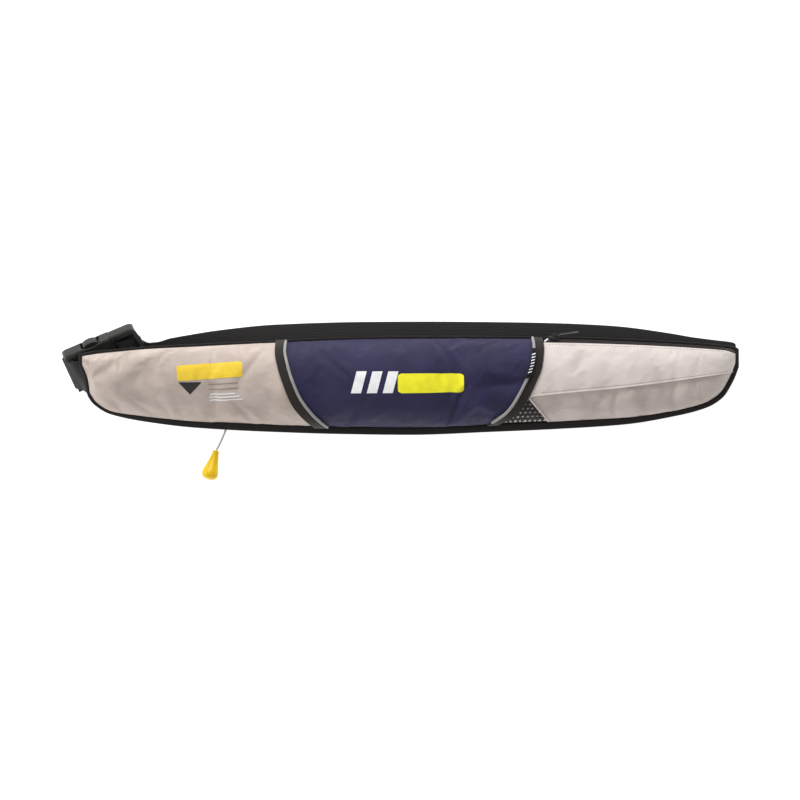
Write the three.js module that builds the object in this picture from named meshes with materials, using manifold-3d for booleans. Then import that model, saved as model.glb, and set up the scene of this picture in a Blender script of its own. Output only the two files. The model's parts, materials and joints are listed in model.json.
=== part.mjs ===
// An inflatable belt pack, lying on its back as a closed loop: a long stuffed pouch with a
// three-colour cover, and a webbing belt that passes behind it to a side-release buckle.
// Millimetres. +X runs along the pouch to its zipped end, +Y to its upper edge, +Z up off the floor.
import * as THREE from "three";
import { mergeVertices } from "three/addons/utils/BufferGeometryUtils.js";
import Module from "manifold-3d";

const wasm = await Module();
wasm.setup();

// Pouch
const pouchLength = 720;
const pouchHeight = 106;
const pouchDepth = 44;
const coverWall = 1.4;
const backPanelThickness = 3;
const bladderSlack = 4.5;
const endRoundLength = 40;
const leftEndLift = 53.5; // the left end is propped on the buckle
const leftEndTwist = 0.45; // and leans by this slope
const clearance = 0.35;
const hemGap = 0.7; // between the cover's hem and what it is sewn to
const trimGap = 0.6; // under the strips and patches on the curved cover

// Edge binding
const bindingWall = 1;
const bottomBorder = 7.5;
const cornerBorder = 4;
const endBorder = 3;
const topBorder = 2;
const lowerLeg = 3.5;

// Trim on the cover
const stripWidth = 9;
const stripThickness = 1.2;
const pipingRadius = 1.7;
const labelLength = 30;
const labelWidth = 6.5;
const labelThickness = 0.6;
const patchThickness = 0.6;
const leftPatchLength = 70;
const leftPatchHeight = 16.5;
const leftPatchTilt = 3.8; // degrees
const centrePatchLength = 72;
const centrePatchHeight = 21;
const hemOverlap = 5;
const netThickness = 0.9;
const netHoleRadius = 1.35;
const netPitch = 5.6;

// Zip
const zipTapeShare = 0.04; // of the cover's height
const zipTapeThickness = 1;
const coilRadius = 1.1;
const sliderLength = 12;
const sliderWidth = 7;
const sliderThickness = 3.4;
const bailRadius = 3.5;
const bailWire = 1.3;
const bailWidth = 1.6;
const pullerLength = 27;
const pullerWidth = 5.4;
const pullerThickness = 1.3;
const pullerRise = 9; // degrees off the slider, at rest

// Webbing belt
const webbingWidth = 50;
const webbingThickness = 2;
const tailLength = 17;
const tabSeatShare = 0.05; // of the pouch's height

// Side-release buckle
const buckleLength = 82;
const buckleWidth = 64;
const buckleThickness = 14;
const buckleHeading = 23; // degrees, turned from the pouch's length
const buckleLean = 43; // degrees, raised from the floor on its lower edge
const buckleWall = 2.4;
const femaleLength = 54;
const barRadius = 2.4;
const slotLength = 4.6;
const adjusterBase = 1.8;
const windowStart = 22;
const windowLength = 21.5;

// Pull cord and handle
const cordDiameter = 2.4;
const toggleLength = 33;
const toggleNeckRadius = 3.6;
const toggleRadius = 9.2;
const guideRadius = 2.3;
const guideLength = 12;

const halfLength = pouchLength / 2;
const radians = Math.PI / 180;

// The pouch's outline from the front. Columns: along, a share of half the length; upper and
// lower, shares of the height; depth, a share of the depth.
const outline = [
  { along: -1, upper: 0.335, lower: 0.21, depth: 0.5 },
  { along: -0.992, upper: 0.341, lower: 0.15, depth: 0.52 },
  { along: -0.984, upper: 0.346, lower: 0.07, depth: 0.53 },
  { along: -0.975, upper: 0.35, lower: -0.095, depth: 0.54 },
  { along: -0.953, upper: 0.362, lower: -0.195, depth: 0.57 },
  { along: -0.909, upper: 0.377, lower: -0.284, depth: 0.62 },
  { along: -0.8, upper: 0.41, lower: -0.364, depth: 0.74 },
  { along: -0.65, upper: 0.437, lower: -0.425, depth: 0.86 },
  { along: -0.45, upper: 0.472, lower: -0.464, depth: 0.94 },
  { along: -0.2, upper: 0.509, lower: -0.491, depth: 1 },
  { along: 0, upper: 0.521, lower: -0.499, depth: 1 },
  { along: 0.25, upper: 0.521, lower: -0.468, depth: 0.98 },
  { along: 0.45, upper: 0.515, lower: -0.438, depth: 0.9 },
  { along: 0.65, upper: 0.495, lower: -0.393, depth: 0.8 },
  { along: 0.8, upper: 0.47, lower: -0.31, depth: 0.7 },
  { along: 0.9, upper: 0.446, lower: -0.221, depth: 0.6 },
  { along: 0.95, upper: 0.43, lower: -0.118, depth: 0.55 },
  { along: 0.985, upper: 0.414, lower: 0.07, depth: 0.5 },
  { along: 1, upper: 0.39, lower: 0.2, depth: 0.48 },
];

// The curved strips beside the middle panel: where each one's inner edge runs. Columns: across,
// a share of the cover's height; left and right, shares of half the length.
const stripRoute = [
  { along: 0, left: -0.258, right: 0.236 },
  { along: 0.05, left: -0.277, right: 0.266 },
  { along: 0.14, left: -0.304, right: 0.302 },
  { along: 0.33, left: -0.342, right: 0.339 },
  { along: 0.51, left: -0.363, right: 0.363 },
  { along: 0.7, left: -0.379, right: 0.381 },
  { along: 0.88, left: -0.388, right: 0.386 },
  { along: 1, left: -0.385, right: 0.382 },
];

// The sloping seam of the right-hand pocket: height is a share of the pouch's height.
const pocketSeam = [
  { along: 0.36, height: -0.106 },
  { along: 0.52, height: -0.052 },
  { along: 0.64, height: -0.015 },
  { along: 0.76, height: 0.036 },
  { along: 0.88, height: 0.092 },
  { along: 1, height: 0.157 },
];
const gussetCornerShare = 0.286;
const gussetFoot = 0.427;
const gussetTop = 0.3665;

// Main folds of the stuffed cover. Columns: along and height place the middle, in shares of half
// the length and of the height; run and spread are shares of the height; heading is in degrees
// from +X; lift is a share of the depth.
const folds = [
  { along: -0.86, height: 0.12, run: 0.3, spread: 0.09, heading: 35, lift: 0.05 },
  { along: -0.78, height: -0.12, run: 0.34, spread: 0.1, heading: -40, lift: -0.07 },
  { along: -0.7, height: -0.22, run: 0.24, spread: 0.08, heading: -52, lift: 0.06 },
  { along: -0.6, height: -0.24, run: 0.22, spread: 0.09, heading: -60, lift: -0.06 },
  { along: -0.52, height: -0.26, run: 0.24, spread: 0.08, heading: -55, lift: 0.06 },
  { along: -0.43, height: -0.24, run: 0.24, spread: 0.1, heading: -42, lift: -0.06 },
  { along: -0.28, height: 0.0, run: 0.3, spread: 0.12, heading: -60, lift: -0.05 },
  { along: -0.12, height: -0.24, run: 0.4, spread: 0.11, heading: 12, lift: 0.05 },
  { along: 0.08, height: 0.34, run: 0.24, spread: 0.08, heading: -55, lift: 0.05 },
  { along: 0.1, height: -0.26, run: 0.22, spread: 0.09, heading: 50, lift: -0.05 },
  { along: 0.28, height: 0.0, run: 0.24, spread: 0.1, heading: 6, lift: -0.07 },
  { along: 0.23, height: -0.24, run: 0.26, spread: 0.09, heading: -35, lift: 0.05 },
  { along: 0.56, height: -0.2, run: 0.24, spread: 0.09, heading: 50, lift: -0.05 },
  { along: 0.68, height: -0.16, run: 0.26, spread: 0.08, heading: -62, lift: 0.06 },
  { along: 0.78, height: -0.06, run: 0.24, spread: 0.08, heading: -70, lift: -0.06 },
];

// The belt's upper selvedge from its stitched end to the buckle. Columns: along and height place
// it, in shares of half the pouch's length and of its height; lean is the webbing's tilt off the
// floor and turn its turn from +X, in degrees; rise is the selvedge's height above the floor, as
// a share of the webbing's width.
const beltRoute = [
  { along: 0.985, height: 0.455, lean: 0, turn: -25, rise: 0 },
  { along: 0.94, height: 0.476, lean: 0, turn: -14, rise: 0 },
  { along: 0.89, height: 0.497, lean: 0, turn: -4, rise: 0 },
  { along: 0.787, height: 0.553, lean: 0, turn: 0, rise: 0 },
  { along: 0.656, height: 0.615, lean: 0, turn: 0, rise: 0 },
  { along: 0.526, height: 0.645, lean: 0, turn: 0, rise: 0 },
  { along: 0.42, height: 0.6575, lean: 0, turn: 0, rise: 0 },
  { along: 0.25, height: 0.667, lean: 0, turn: 0, rise: 0 },
  { along: 0, height: 0.671, lean: 0, turn: 0, rise: 0 },
  { along: -0.242, height: 0.662, lean: 0, turn: 0, rise: 0 },
  { along: -0.36, height: 0.648, lean: 0, turn: 0, rise: 0 },
  { along: -0.441, height: 0.634, lean: 0, turn: 1, rise: 0 },
  { along: -0.52, height: 0.607, lean: 0, turn: 2, rise: 0 },
  { along: -0.603, height: 0.571, lean: 3, turn: 6, rise: 0.06 },
  { along: -0.684, height: 0.525, lean: 11, turn: 11, rise: 0.2 },
  { along: -0.735, height: 0.494, lean: 19, turn: 15, rise: 0.34 },
  { along: -0.768, height: 0.477, lean: 25.5, turn: 19, rise: 0.44 },
  { along: -0.8, height: 0.496, lean: 31, turn: 22, rise: 0.54 },
  { along: -0.8214, height: 0.5495, lean: 36, turn: 23, rise: 0.605 },
];

const cordRoute = [
  [-193.5, -27.5, 3.2],
  [-195.6, -32.5, 2.9],
  [-197.7, -38, 2.2],
  [-199.6, -43, 1.65],
  [-201.5, -48, 1.45],
  [-203.7, -53.5, 1.55],
  [-206.1, -59, 2.1],
  [-208.6, -64.3, 3.0],
  [-211.3, -69.6, 3.9],
];
const toggleNeck = new THREE.Vector3(-211.7, -70.4, 4.05);
const toggleHeading = 255; // degrees from +X

// Smooth curve through one column of a table, without overshoot.
function curveThrough(rows, column) {
  const xs = rows.map((row) => row.along);
  const ys = rows.map((row) => row[column]);
  const slopes = xs.slice(1).map((x, i) => (ys[i + 1] - ys[i]) / (x - xs[i]));
  const tangents = xs.map((x, i) => {
    if (i === 0) return slopes[0];
    if (i === xs.length - 1) return slopes[i - 1];
    const product = slopes[i - 1] * slopes[i];
    return product <= 0 ? 0 : (2 * product) / (slopes[i - 1] + slopes[i]);
  });
  return (x) => {
    let i = 0;
    while (i < xs.length - 2 && x > xs[i + 1]) i += 1;
    const span = xs[i + 1] - xs[i];
    const s = THREE.MathUtils.clamp((x - xs[i]) / span, 0, 1);
    const bend = s * s * (3 - 2 * s);
    const lead = s * (1 - s) * (1 - s) * tangents[i] * span;
    const trail = s * s * (s - 1) * tangents[i + 1] * span;
    return ys[i] * (1 - bend) + ys[i + 1] * bend + lead + trail;
  };
}

const upperShare = curveThrough(outline, "upper");
const lowerShare = curveThrough(outline, "lower");
const depthShare = curveThrough(outline, "depth");
const leftInner = curveThrough(stripRoute, "left");
const rightInner = curveThrough(stripRoute, "right");
const seamHeight = curveThrough(pocketSeam, "height");

const mix = THREE.MathUtils.lerp;
const smooth = THREE.MathUtils.smoothstep;

// Height of the back panel's underside above the floor: it lies on the belt along its upper
// edge and at its right end, and on its own binding elsewhere; its left end is propped up.
function backHeight(x, y) {
  const onFloor = bindingWall + clearance;
  const onBelt = webbingThickness + 2 * clearance;
  const overBelt = THREE.MathUtils.clamp(y / pouchHeight + 0.5, 0, 1.1);
  const flat = onFloor + onBelt * Math.max(overBelt, smooth(x / halfLength, 0.78, 0.92));
  const propped = smooth(-x / halfLength, 0.36, 0.972);
  return flat + propped * (leftEndLift + leftEndTwist * (y - 0.32 * pouchHeight));
}

function coverFoot(x, y) {
  return backHeight(x, y) + backPanelThickness + hemGap;
}

// Height of the outline's lower and upper edges, inset by a border.
function lowerEdge(u, inset) {
  return lowerShare(u) * pouchHeight + inset;
}

function upperEdge(u, inset) {
  return upperShare(u) * pouchHeight - inset;
}

function foldLift(x, y) {
  let lift = 0;
  for (const fold of folds) {
    const dx = x - fold.along * halfLength;
    const dy = y - fold.height * pouchHeight;
    const cos = Math.cos(fold.heading * radians);
    const sin = Math.sin(fold.heading * radians);
    const along = (dx * cos + dy * sin) / (fold.run * pouchHeight);
    const across = (dy * cos - dx * sin) / (fold.spread * pouchHeight);
    lift += fold.lift * pouchDepth * Math.exp(-along * along - across * across);
  }
  return lift;
}

// The binding shows broad along the middle of the lower edge and narrow round the corners.
function lowerBorder(u) {
  return mix(bottomBorder, cornerBorder, smooth(Math.abs(u), 0.5, 0.97));
}

// A point of the cover. u runs from -1 at the left end to 1 at the right, t from 0 at the lower
// hem to 1 at the upper one, and depth is how far it lies inside the outer skin.
function skinPoint(u, t, depth) {
  const x = u * (halfLength - endBorder - hemGap - depth);
  const low = lowerEdge(u, lowerBorder(u) + hemGap + depth);
  const high = upperEdge(u, topBorder + hemGap + depth);
  const y = mix(low, high, t);
  const fromEnd = Math.max(0, Math.abs(u) - 1 + endRoundLength / halfLength);
  const endRound = Math.sqrt(Math.max(0, 1 - (fromEnd * halfLength / endRoundLength) ** 2));
  const section = Math.pow(Math.max(0, 4 * t * (1 - t)), 0.45);
  const stuffed = (pouchDepth * depthShare(u) - depth) * endRound * section;
  const z = coverFoot(x, y) + stuffed + foldLift(x, y) * endRound * section;
  return new THREE.Vector3(x, y, z);
}

// The same place, raised square off the outer skin.
function raisedPoint(u, t, height) {
  const step = 0.006;
  const [u0, u1] = [Math.max(-0.999, u - step), Math.min(0.999, u + step)];
  const [t0, t1] = [Math.max(0.0005, t - step), Math.min(0.9995, t + step)];
  const run = skinPoint(u1, t, 0).sub(skinPoint(u0, t, 0));
  const climb = skinPoint(u, t1, 0).sub(skinPoint(u, t0, 0));
  return skinPoint(u, t, 0).addScaledVector(run.cross(climb).normalize(), height);
}

function coverPoint(u, t, depth) {
  return depth < 0 ? raisedPoint(u, t, -depth) : skinPoint(u, t, depth);
}

// The shares u and t of a place on the cover's outer skin.
function coverShares(x, y) {
  const u = x / (halfLength - endBorder - hemGap);
  const low = lowerEdge(u, lowerBorder(u) + hemGap);
  const high = upperEdge(u, topBorder + hemGap);
  return { u, t: (y - low) / (high - low) };
}

function seamShare(u) {
  const x = u * (halfLength - endBorder - hemGap);
  return THREE.MathUtils.clamp(coverShares(x, seamHeight(u) * pouchHeight).t, 0, 0.7);
}

// Six times the volume that a closed surface holds, below zero when it faces inwards.
function heldVolume(positions, index) {
  const point = (k) => new THREE.Vector3().fromArray(positions, index[k] * 3);
  let total = 0;
  for (let k = 0; k < index.length; k += 3) {
    total += point(k).dot(point(k + 1).cross(point(k + 2)));
  }
  return total;
}

function closedGeometry(positions, index) {
  if (heldVolume(positions, index) < 0) index.reverse();
  const geometry = new THREE.BufferGeometry();
  geometry.setAttribute("position", new THREE.Float32BufferAttribute(positions, 3));
  geometry.setIndex(index);
  return geometry;
}

// A closed solid from two facing grids of points, outer and inner.
function sheetSolid(columns, rows, outerAt, innerAt) {
  const positions = [];
  const grids = [outerAt, innerAt].map((at) => {
    const first = positions.length / 3;
    for (let i = 0; i <= columns; i += 1) {
      for (let j = 0; j <= rows; j += 1) positions.push(...at(i / columns, j / rows).toArray());
    }
    return (i, j) => first + i * (rows + 1) + j;
  });
  const [outer, inner] = grids;
  const index = [];
  const quad = (a, b, c, d) => index.push(a, b, c, a, c, d);
  for (let i = 0; i < columns; i += 1) {
    for (let j = 0; j < rows; j += 1) {
      quad(outer(i, j), outer(i + 1, j), outer(i + 1, j + 1), outer(i, j + 1));
      quad(inner(i, j), inner(i, j + 1), inner(i + 1, j + 1), inner(i + 1, j));
    }
  }
  for (let i = 0; i < columns; i += 1) {
    quad(outer(i, 0), inner(i, 0), inner(i + 1, 0), outer(i + 1, 0));
    quad(outer(i, rows), outer(i + 1, rows), inner(i + 1, rows), inner(i, rows));
  }
  for (let j = 0; j < rows; j += 1) {
    quad(outer(0, j), outer(0, j + 1), inner(0, j + 1), inner(0, j));
    quad(outer(columns, j), inner(columns, j), inner(columns, j + 1), outer(columns, j + 1));
  }
  return closedGeometry(positions, index);
}

// Rows across a section crowd towards its steep hems.
function crowded(share) {
  return (1 - Math.cos(Math.PI * share)) / 2;
}

// A panel of the cover between two edges left(t) and right(t), and two hems low(u) and high(u).
function panelGeometry({ columns, rows, left, right, low, high, outer, inner, crowd, spread }) {
  const at = (depth) => (i, j) => {
    const across = crowd ? crowded(j) : j;
    const ahead = spread ? spread(i) : i;
    let u = mix(left(0.5), right(0.5), ahead);
    let t = across;
    for (let turn = 0; turn < 12; turn += 1) {
      t = mix(low(u), high(u), across);
      u = mix(left(t), right(t), ahead);
    }
    return coverPoint(u, t, depth);
  };
  return sheetSolid(columns, rows, at(outer), at(inner));
}

// An edge that keeps a distance square to another, so it lies further along where that slopes.
const coverHeight = 0.88 * pouchHeight;
function edgeBeside(edge, distance, most = 1.9) {
  return (t) => {
    const [t0, t1] = [Math.max(0, t - 0.02), Math.min(1, t + 0.02)];
    const slope = ((edge(t1) - edge(t0)) * halfLength) / ((t1 - t0) * coverHeight);
    return edge(t) + (distance / halfLength) * Math.min(most, Math.hypot(1, slope));
  };
}
const stripSpread = 1.3; // its width along the pouch, where it slopes most
const leftOuter = edgeBeside(leftInner, -stripWidth, stripSpread);
const rightOuter = edgeBeside(rightInner, stripWidth, stripSpread);
const leftSeam = (t) => (leftInner(t) + leftOuter(t)) / 2;
const rightSeam = (t) => (rightInner(t) + rightOuter(t)) / 2;
const gapShare = clearance / halfLength;

function gussetEdge(t) {
  return mix(gussetFoot, gussetTop, t / gussetCornerShare);
}

function lowerPanelEdge(t) {
  return Math.max(rightSeam(t), gussetEdge(t)) + gapShare;
}

const group = new THREE.Group();
const clothBlack = { color: 0x282422, roughness: 0.9 };
const clothBeige = { color: 0xd9cdc7, roughness: 0.8 };
const clothNavy = { color: 0x2f2d52, roughness: 0.7 };
const webbingBlack = { color: 0x343231, roughness: 0.85 };
const trimGrey = { color: 0xa3a09e, roughness: 0.5 };
const plasticBlack = { color: 0x2c2d2c, roughness: 0.5 };
const printYellow = { color: 0xffd21f, roughness: 0.45 };
const coatedMetal = { color: 0x3a3a3b, roughness: 0.4, metalness: 0.6 };

function addMesh(name, geometry, finish, parent = group) {
  const mesh = new THREE.Mesh(geometry, new THREE.MeshStandardMaterial({ metalness: 0, ...finish }));
  mesh.name = name;
  parent.add(mesh);
  return mesh;
}

// Solids for cutting and joining
function toSolid(geometry) {
  const bare = geometry.clone();
  bare.deleteAttribute("normal");
  bare.deleteAttribute("uv");
  const merged = mergeVertices(bare, 1e-4);
  return new wasm.Manifold(
    new wasm.Mesh({
      numProp: 3,
      vertProperties: new Float32Array(merged.attributes.position.array),
      triVerts: new Uint32Array(merged.index.array),
    }),
  );
}

function toGeometry(solid) {
  const mesh = solid.getMesh();
  const geometry = new THREE.BufferGeometry();
  geometry.setAttribute("position", new THREE.BufferAttribute(mesh.vertProperties, 3));
  geometry.setIndex(new THREE.BufferAttribute(mesh.triVerts, 1));
  return geometry;
}

function box(x0, x1, y0, y1, z0, z1) {
  const geometry = new THREE.BoxGeometry(x1 - x0, y1 - y0, z1 - z0);
  geometry.translate((x0 + x1) / 2, (y0 + y1) / 2, (z0 + z1) / 2);
  return geometry;
}

const joined = (...geometries) => geometries.map(toSolid).reduce((a, b) => a.add(b));

// Back panel: a padded sheet cut to the outline, a binding's wall inside it.
function outlinePoint(u, t, inset) {
  const x = u * (halfLength - inset);
  return new THREE.Vector3(x, mix(lowerEdge(u, inset), upperEdge(u, inset), t), 0);
}

const crowdedEnds = (share) => Math.sin((share * 2 - 1) * (Math.PI / 2));

function backPanel() {
  const inset = bindingWall + clearance;
  const at = (above) => (i, j) => {
    const point = outlinePoint(crowdedEnds(i), j, inset);
    point.z = backHeight(point.x, point.y) + above;
    return point;
  };
  return sheetSolid(40, 3, at(backPanelThickness), at(0));
}

// Edge binding: a tape folded round the rim of the back panel and over the cover's hem.
function bindingRing(inset, above) {
  const steps = 40;
  const ring = [];
  const place = (u, upper) => {
    const x = u * (halfLength - inset.end);
    const y = upper ? upperEdge(u, inset.top) : lowerEdge(u, inset.bottom(u));
    ring.push(new THREE.Vector3(x, y, backHeight(x, y) + above));
  };
  for (let i = 0; i <= steps; i += 1) place(crowdedEnds(i / steps), false);
  for (let i = steps; i >= 0; i -= 1) place(crowdedEnds(i / steps), true);
  return ring;
}

function edgeBinding() {
  const same = (inset) => ({ end: inset, top: inset, bottom: () => inset });
  const border = { end: endBorder, top: topBorder, bottom: lowerBorder };
  const top = backPanelThickness + clearance;
  const leg = { end: endBorder, top: topBorder, bottom: () => lowerLeg };
  const rings = [
    bindingRing(same(0), -clearance - bindingWall),
    bindingRing(same(0), top + bindingWall),
    bindingRing(border, top + bindingWall),
    bindingRing(border, top),
    bindingRing(same(bindingWall), top),
    bindingRing(same(bindingWall), -clearance),
    bindingRing(leg, -clearance),
    bindingRing(leg, -clearance - bindingWall),
  ];
  const count = rings[0].length;
  const positions = rings.flatMap((ring) => ring.flatMap((point) => point.toArray()));
  const index = [];
  for (let k = 0; k < rings.length; k += 1) {
    const next = (k + 1) % rings.length;
    for (let i = 0; i < count; i += 1) {
      const ahead = (i + 1) % count;
      const [a, b, c, d] = [k * count + i, k * count + ahead, next * count + ahead, next * count + i];
      index.push(a, b, c, a, c, d);
    }
  }
  return closedGeometry(positions, index);
}

// Folded bladder: the plain bulk that fills the cover.
function foldedBladder() {
  const depth = coverWall + clearance + bladderSlack;
  const at = (raised) => (i, j) => {
    const u = crowdedEnds(i) * 0.97;
    const point = coverPoint(u, mix(0.02, 0.98, crowded(j)), depth);
    const foot = coverFoot(point.x, point.y);
    point.z = raised ? Math.max(point.z, foot + 1) : foot;
    return point;
  };
  return sheetSolid(28, 8, at(true), at(false));
}

addMesh("back_panel", backPanel(), clothBlack);
addMesh("edge_binding", edgeBinding(), clothBlack);
addMesh("folded_bladder", foldedBladder(), { color: 0xb8b4ae, roughness: 0.8 });

const wholeHeight = { low: () => 0, high: () => 1, crowd: true };
addMesh(
  "left_panel",
  panelGeometry({
    ...wholeHeight,
    columns: 22,
    rows: 10,
    left: () => -1,
    right: (t) => leftSeam(t) - gapShare,
    outer: 0,
    inner: coverWall,
    spread: (share) => 1 - Math.cos((share * Math.PI) / 2),
  }),
  clothBeige,
);
addMesh(
  "centre_panel",
  panelGeometry({
    ...wholeHeight,
    columns: 22,
    rows: 10,
    left: (t) => leftSeam(t) + gapShare,
    right: (t) => rightSeam(t) - gapShare,
    outer: 0,
    inner: coverWall,
  }),
  clothNavy,
);

// Right-hand pocket: an upper panel up to the zip, whose lower hem laps over the lower panel.
const towardsEnd = (share) => Math.sin((share * Math.PI) / 2);
const zipFoot = 1 - zipTapeShare;
const seamGap = (u) => (2 * clearance) / (upperEdge(u, 0) - lowerEdge(u, 0));
const lapShare = hemOverlap / pouchHeight;
addMesh(
  "right_panel_upper",
  panelGeometry({
    columns: 20,
    rows: 7,
    left: (t) => rightSeam(t) + gapShare,
    right: () => 1,
    low: seamShare,
    high: (u) => zipFoot - 2 * seamGap(u),
    outer: 0,
    inner: coverWall,
    spread: towardsEnd,
  }),
  clothBeige,
);
addMesh(
  "right_panel_lower",
  panelGeometry({
    columns: 20,
    rows: 6,
    left: lowerPanelEdge,
    right: () => 1,
    low: () => 0,
    high: (u) => Math.min(0.8, seamShare(u) + lapShare),
    outer: coverWall + 2 * clearance,
    inner: 2 * coverWall + 2 * clearance,
    spread: towardsEnd,
  }),
  clothBeige,
);

// Net gusset over its pale lining, in the corner below the right strip
const netTop = 0.3;
const gusset = {
  columns: 5,
  rows: 6,
  left: (t) => rightSeam(t) + 3 * gapShare,
  right: (t) => gussetEdge(t) - gapShare,
  low: () => 0,
  high: () => netTop,
};

function pierced(geometry) {
  let net = toSolid(geometry);
  const rowStep = netPitch * 0.87;
  const rowCount = Math.floor((netTop * coverHeight) / rowStep);
  for (let row = 0; row < rowCount; row += 1) {
    const t = ((row + 0.7) * rowStep) / coverHeight;
    const margin = (netHoleRadius + 1) / halfLength;
    const from = rightOuter(t) + margin * 0.6;
    const to = gussetEdge(t) - margin;
    const pitch = netPitch / halfLength;
    for (let u = from + (row % 2) * (pitch / 2); u <= to; u += pitch) {
      const spot = coverPoint(u, t, 0);
      const drill = new THREE.CylinderGeometry(netHoleRadius, netHoleRadius, 14, 8);
      drill.rotateX(Math.PI / 2);
      drill.translate(spot.x, spot.y, spot.z);
      net = net.subtract(toSolid(drill));
    }
  }
  return toGeometry(net);
}

addMesh(
  "mesh_gusset",
  pierced(panelGeometry({ ...gusset, outer: 0, inner: netThickness })),
  clothBlack,
);
addMesh(
  "gusset_lining",
  panelGeometry({
    ...gusset,
    outer: netThickness + clearance,
    inner: netThickness + clearance + coverWall,
  }),
  clothBeige,
);

// Strips, and the reflective piping along their inner edges
function strip(innerEdge, outerEdge) {
  return panelGeometry({
    columns: 2,
    rows: 18,
    left: innerEdge,
    right: outerEdge,
    low: () => 0.002,
    high: () => 0.998,
    crowd: true,
    outer: -trimGap - stripThickness,
    inner: -trimGap,
  });
}

function curveOnCover(edge, depth, from, to, steps) {
  const points = [];
  for (let k = 0; k <= steps; k += 1) {
    const t = crowded(mix(from, to, k / steps));
    points.push(coverPoint(edge(t), t, depth));
  }
  return new THREE.CatmullRomCurve3(points);
}

function tube(curve, radius, steps, sides) {
  const ring = new THREE.Shape();
  for (let k = 0; k < sides; k += 1) {
    const angle = (2 * Math.PI * k) / sides;
    const [x, y] = [radius * Math.cos(angle), radius * Math.sin(angle)];
    if (k === 0) ring.moveTo(x, y);
    else ring.lineTo(x, y);
  }
  return new THREE.ExtrudeGeometry(ring, { steps, bevelEnabled: false, extrudePath: curve });
}

const pipingShift = pipingRadius + clearance;
const leftPipingLine = edgeBeside(leftInner, pipingShift);
const rightPipingLine = edgeBeside(rightInner, -pipingShift);
function piping(line, from) {
  return tube(curveOnCover(line, -trimGap - pipingRadius, from, 0.94, 24), pipingRadius, 26, 6);
}

addMesh("left_strip", strip(leftInner, leftOuter), clothBlack);
addMesh("right_strip", strip(rightInner, rightOuter), clothBlack);
addMesh("left_piping", piping(leftPipingLine, 0.06), trimGrey);
addMesh("right_piping", piping(rightPipingLine, 0.13), trimGrey);

// Bare woven label folded over the right piping
function sideLabel() {
  const over = -2 * trimGap - 2 * pipingRadius;
  const half = labelWidth / 2 / halfLength;
  const middle = 0.693;
  const reach = labelLength / 2 / coverHeight;
  return panelGeometry({
    columns: 2,
    rows: 6,
    left: (t) => rightPipingLine(t) - half,
    right: (t) => rightPipingLine(t) + half,
    low: () => middle - reach,
    high: () => middle + reach,
    outer: over - labelThickness,
    inner: over,
  });
}
addMesh("side_label", sideLabel(), clothBlack);

// Bare printed patches
function patch(along, height, length, width, tilt) {
  const at = (depth) => (i, j) => {
    const dx = (i - 0.5) * length;
    const dy = (j - 0.5) * width;
    const [cos, sin] = [Math.cos(tilt * radians), Math.sin(tilt * radians)];
    const x = along * halfLength + dx * cos - dy * sin;
    const y = height * pouchHeight + dx * sin + dy * cos;
    const { u, t } = coverShares(x, y);
    return coverPoint(u, t, depth);
  };
  return sheetSolid(8, 3, at(-trimGap - patchThickness), at(-trimGap));
}
addMesh("left_patch", patch(-0.605, 0.156, leftPatchLength, leftPatchHeight, leftPatchTilt), printYellow);
addMesh("centre_patch", patch(0.064, 0.034, centrePatchLength, centrePatchHeight, 0.5), printYellow);

// Zip along the pocket's upper edge
const zipStart = 0.412;
const zipEnd = 0.965;
addMesh(
  "zip_tape",
  panelGeometry({
    columns: 20,
    rows: 3,
    left: (t) => Math.max(zipStart, rightSeam(t) + gapShare),
    right: () => 1,
    low: () => zipFoot,
    high: () => 1,
    outer: 0,
    inner: zipTapeThickness,
    spread: towardsEnd,
  }),
  { color: 0x3b3032, roughness: 0.9 },
);

const coilShare = 1 - zipTapeShare * 0.5;
const coilDepth = -clearance - coilRadius;
const sliderAlong = 0.4433;
function coilCurve(from) {
  const points = [];
  for (let k = 0; k <= 16; k += 1) {
    points.push(coverPoint(mix(from, zipEnd, k / 16), coilShare, coilDepth));
  }
  return new THREE.CatmullRomCurve3(points);
}
const coilStart = sliderAlong + (sliderLength / 2 + clearance) / halfLength;
addMesh("zip_coil", tube(coilCurve(coilStart), coilRadius, 22, 6), coatedMetal);

// The slider's own frame: x along the zip, z square out of the cover
const sliderSeat = coverPoint(sliderAlong, coilShare, -clearance);
const ahead = coverPoint(sliderAlong + 0.01, coilShare, 0)
  .sub(coverPoint(sliderAlong - 0.01, coilShare, 0))
  .normalize();
const upSlope = coverPoint(sliderAlong, coilShare + 0.008, 0)
  .sub(coverPoint(sliderAlong, coilShare - 0.008, 0))
  .normalize();
const outward = new THREE.Vector3().crossVectors(ahead, upSlope).normalize();
const across = new THREE.Vector3().crossVectors(outward, ahead).normalize();
const sliderLiftOff = 0.9;
const zipFrame = new THREE.Group();
zipFrame.setRotationFromMatrix(new THREE.Matrix4().makeBasis(ahead, across, outward));
zipFrame.position.copy(sliderSeat).addScaledVector(outward, sliderLiftOff);
group.add(zipFrame);

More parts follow.
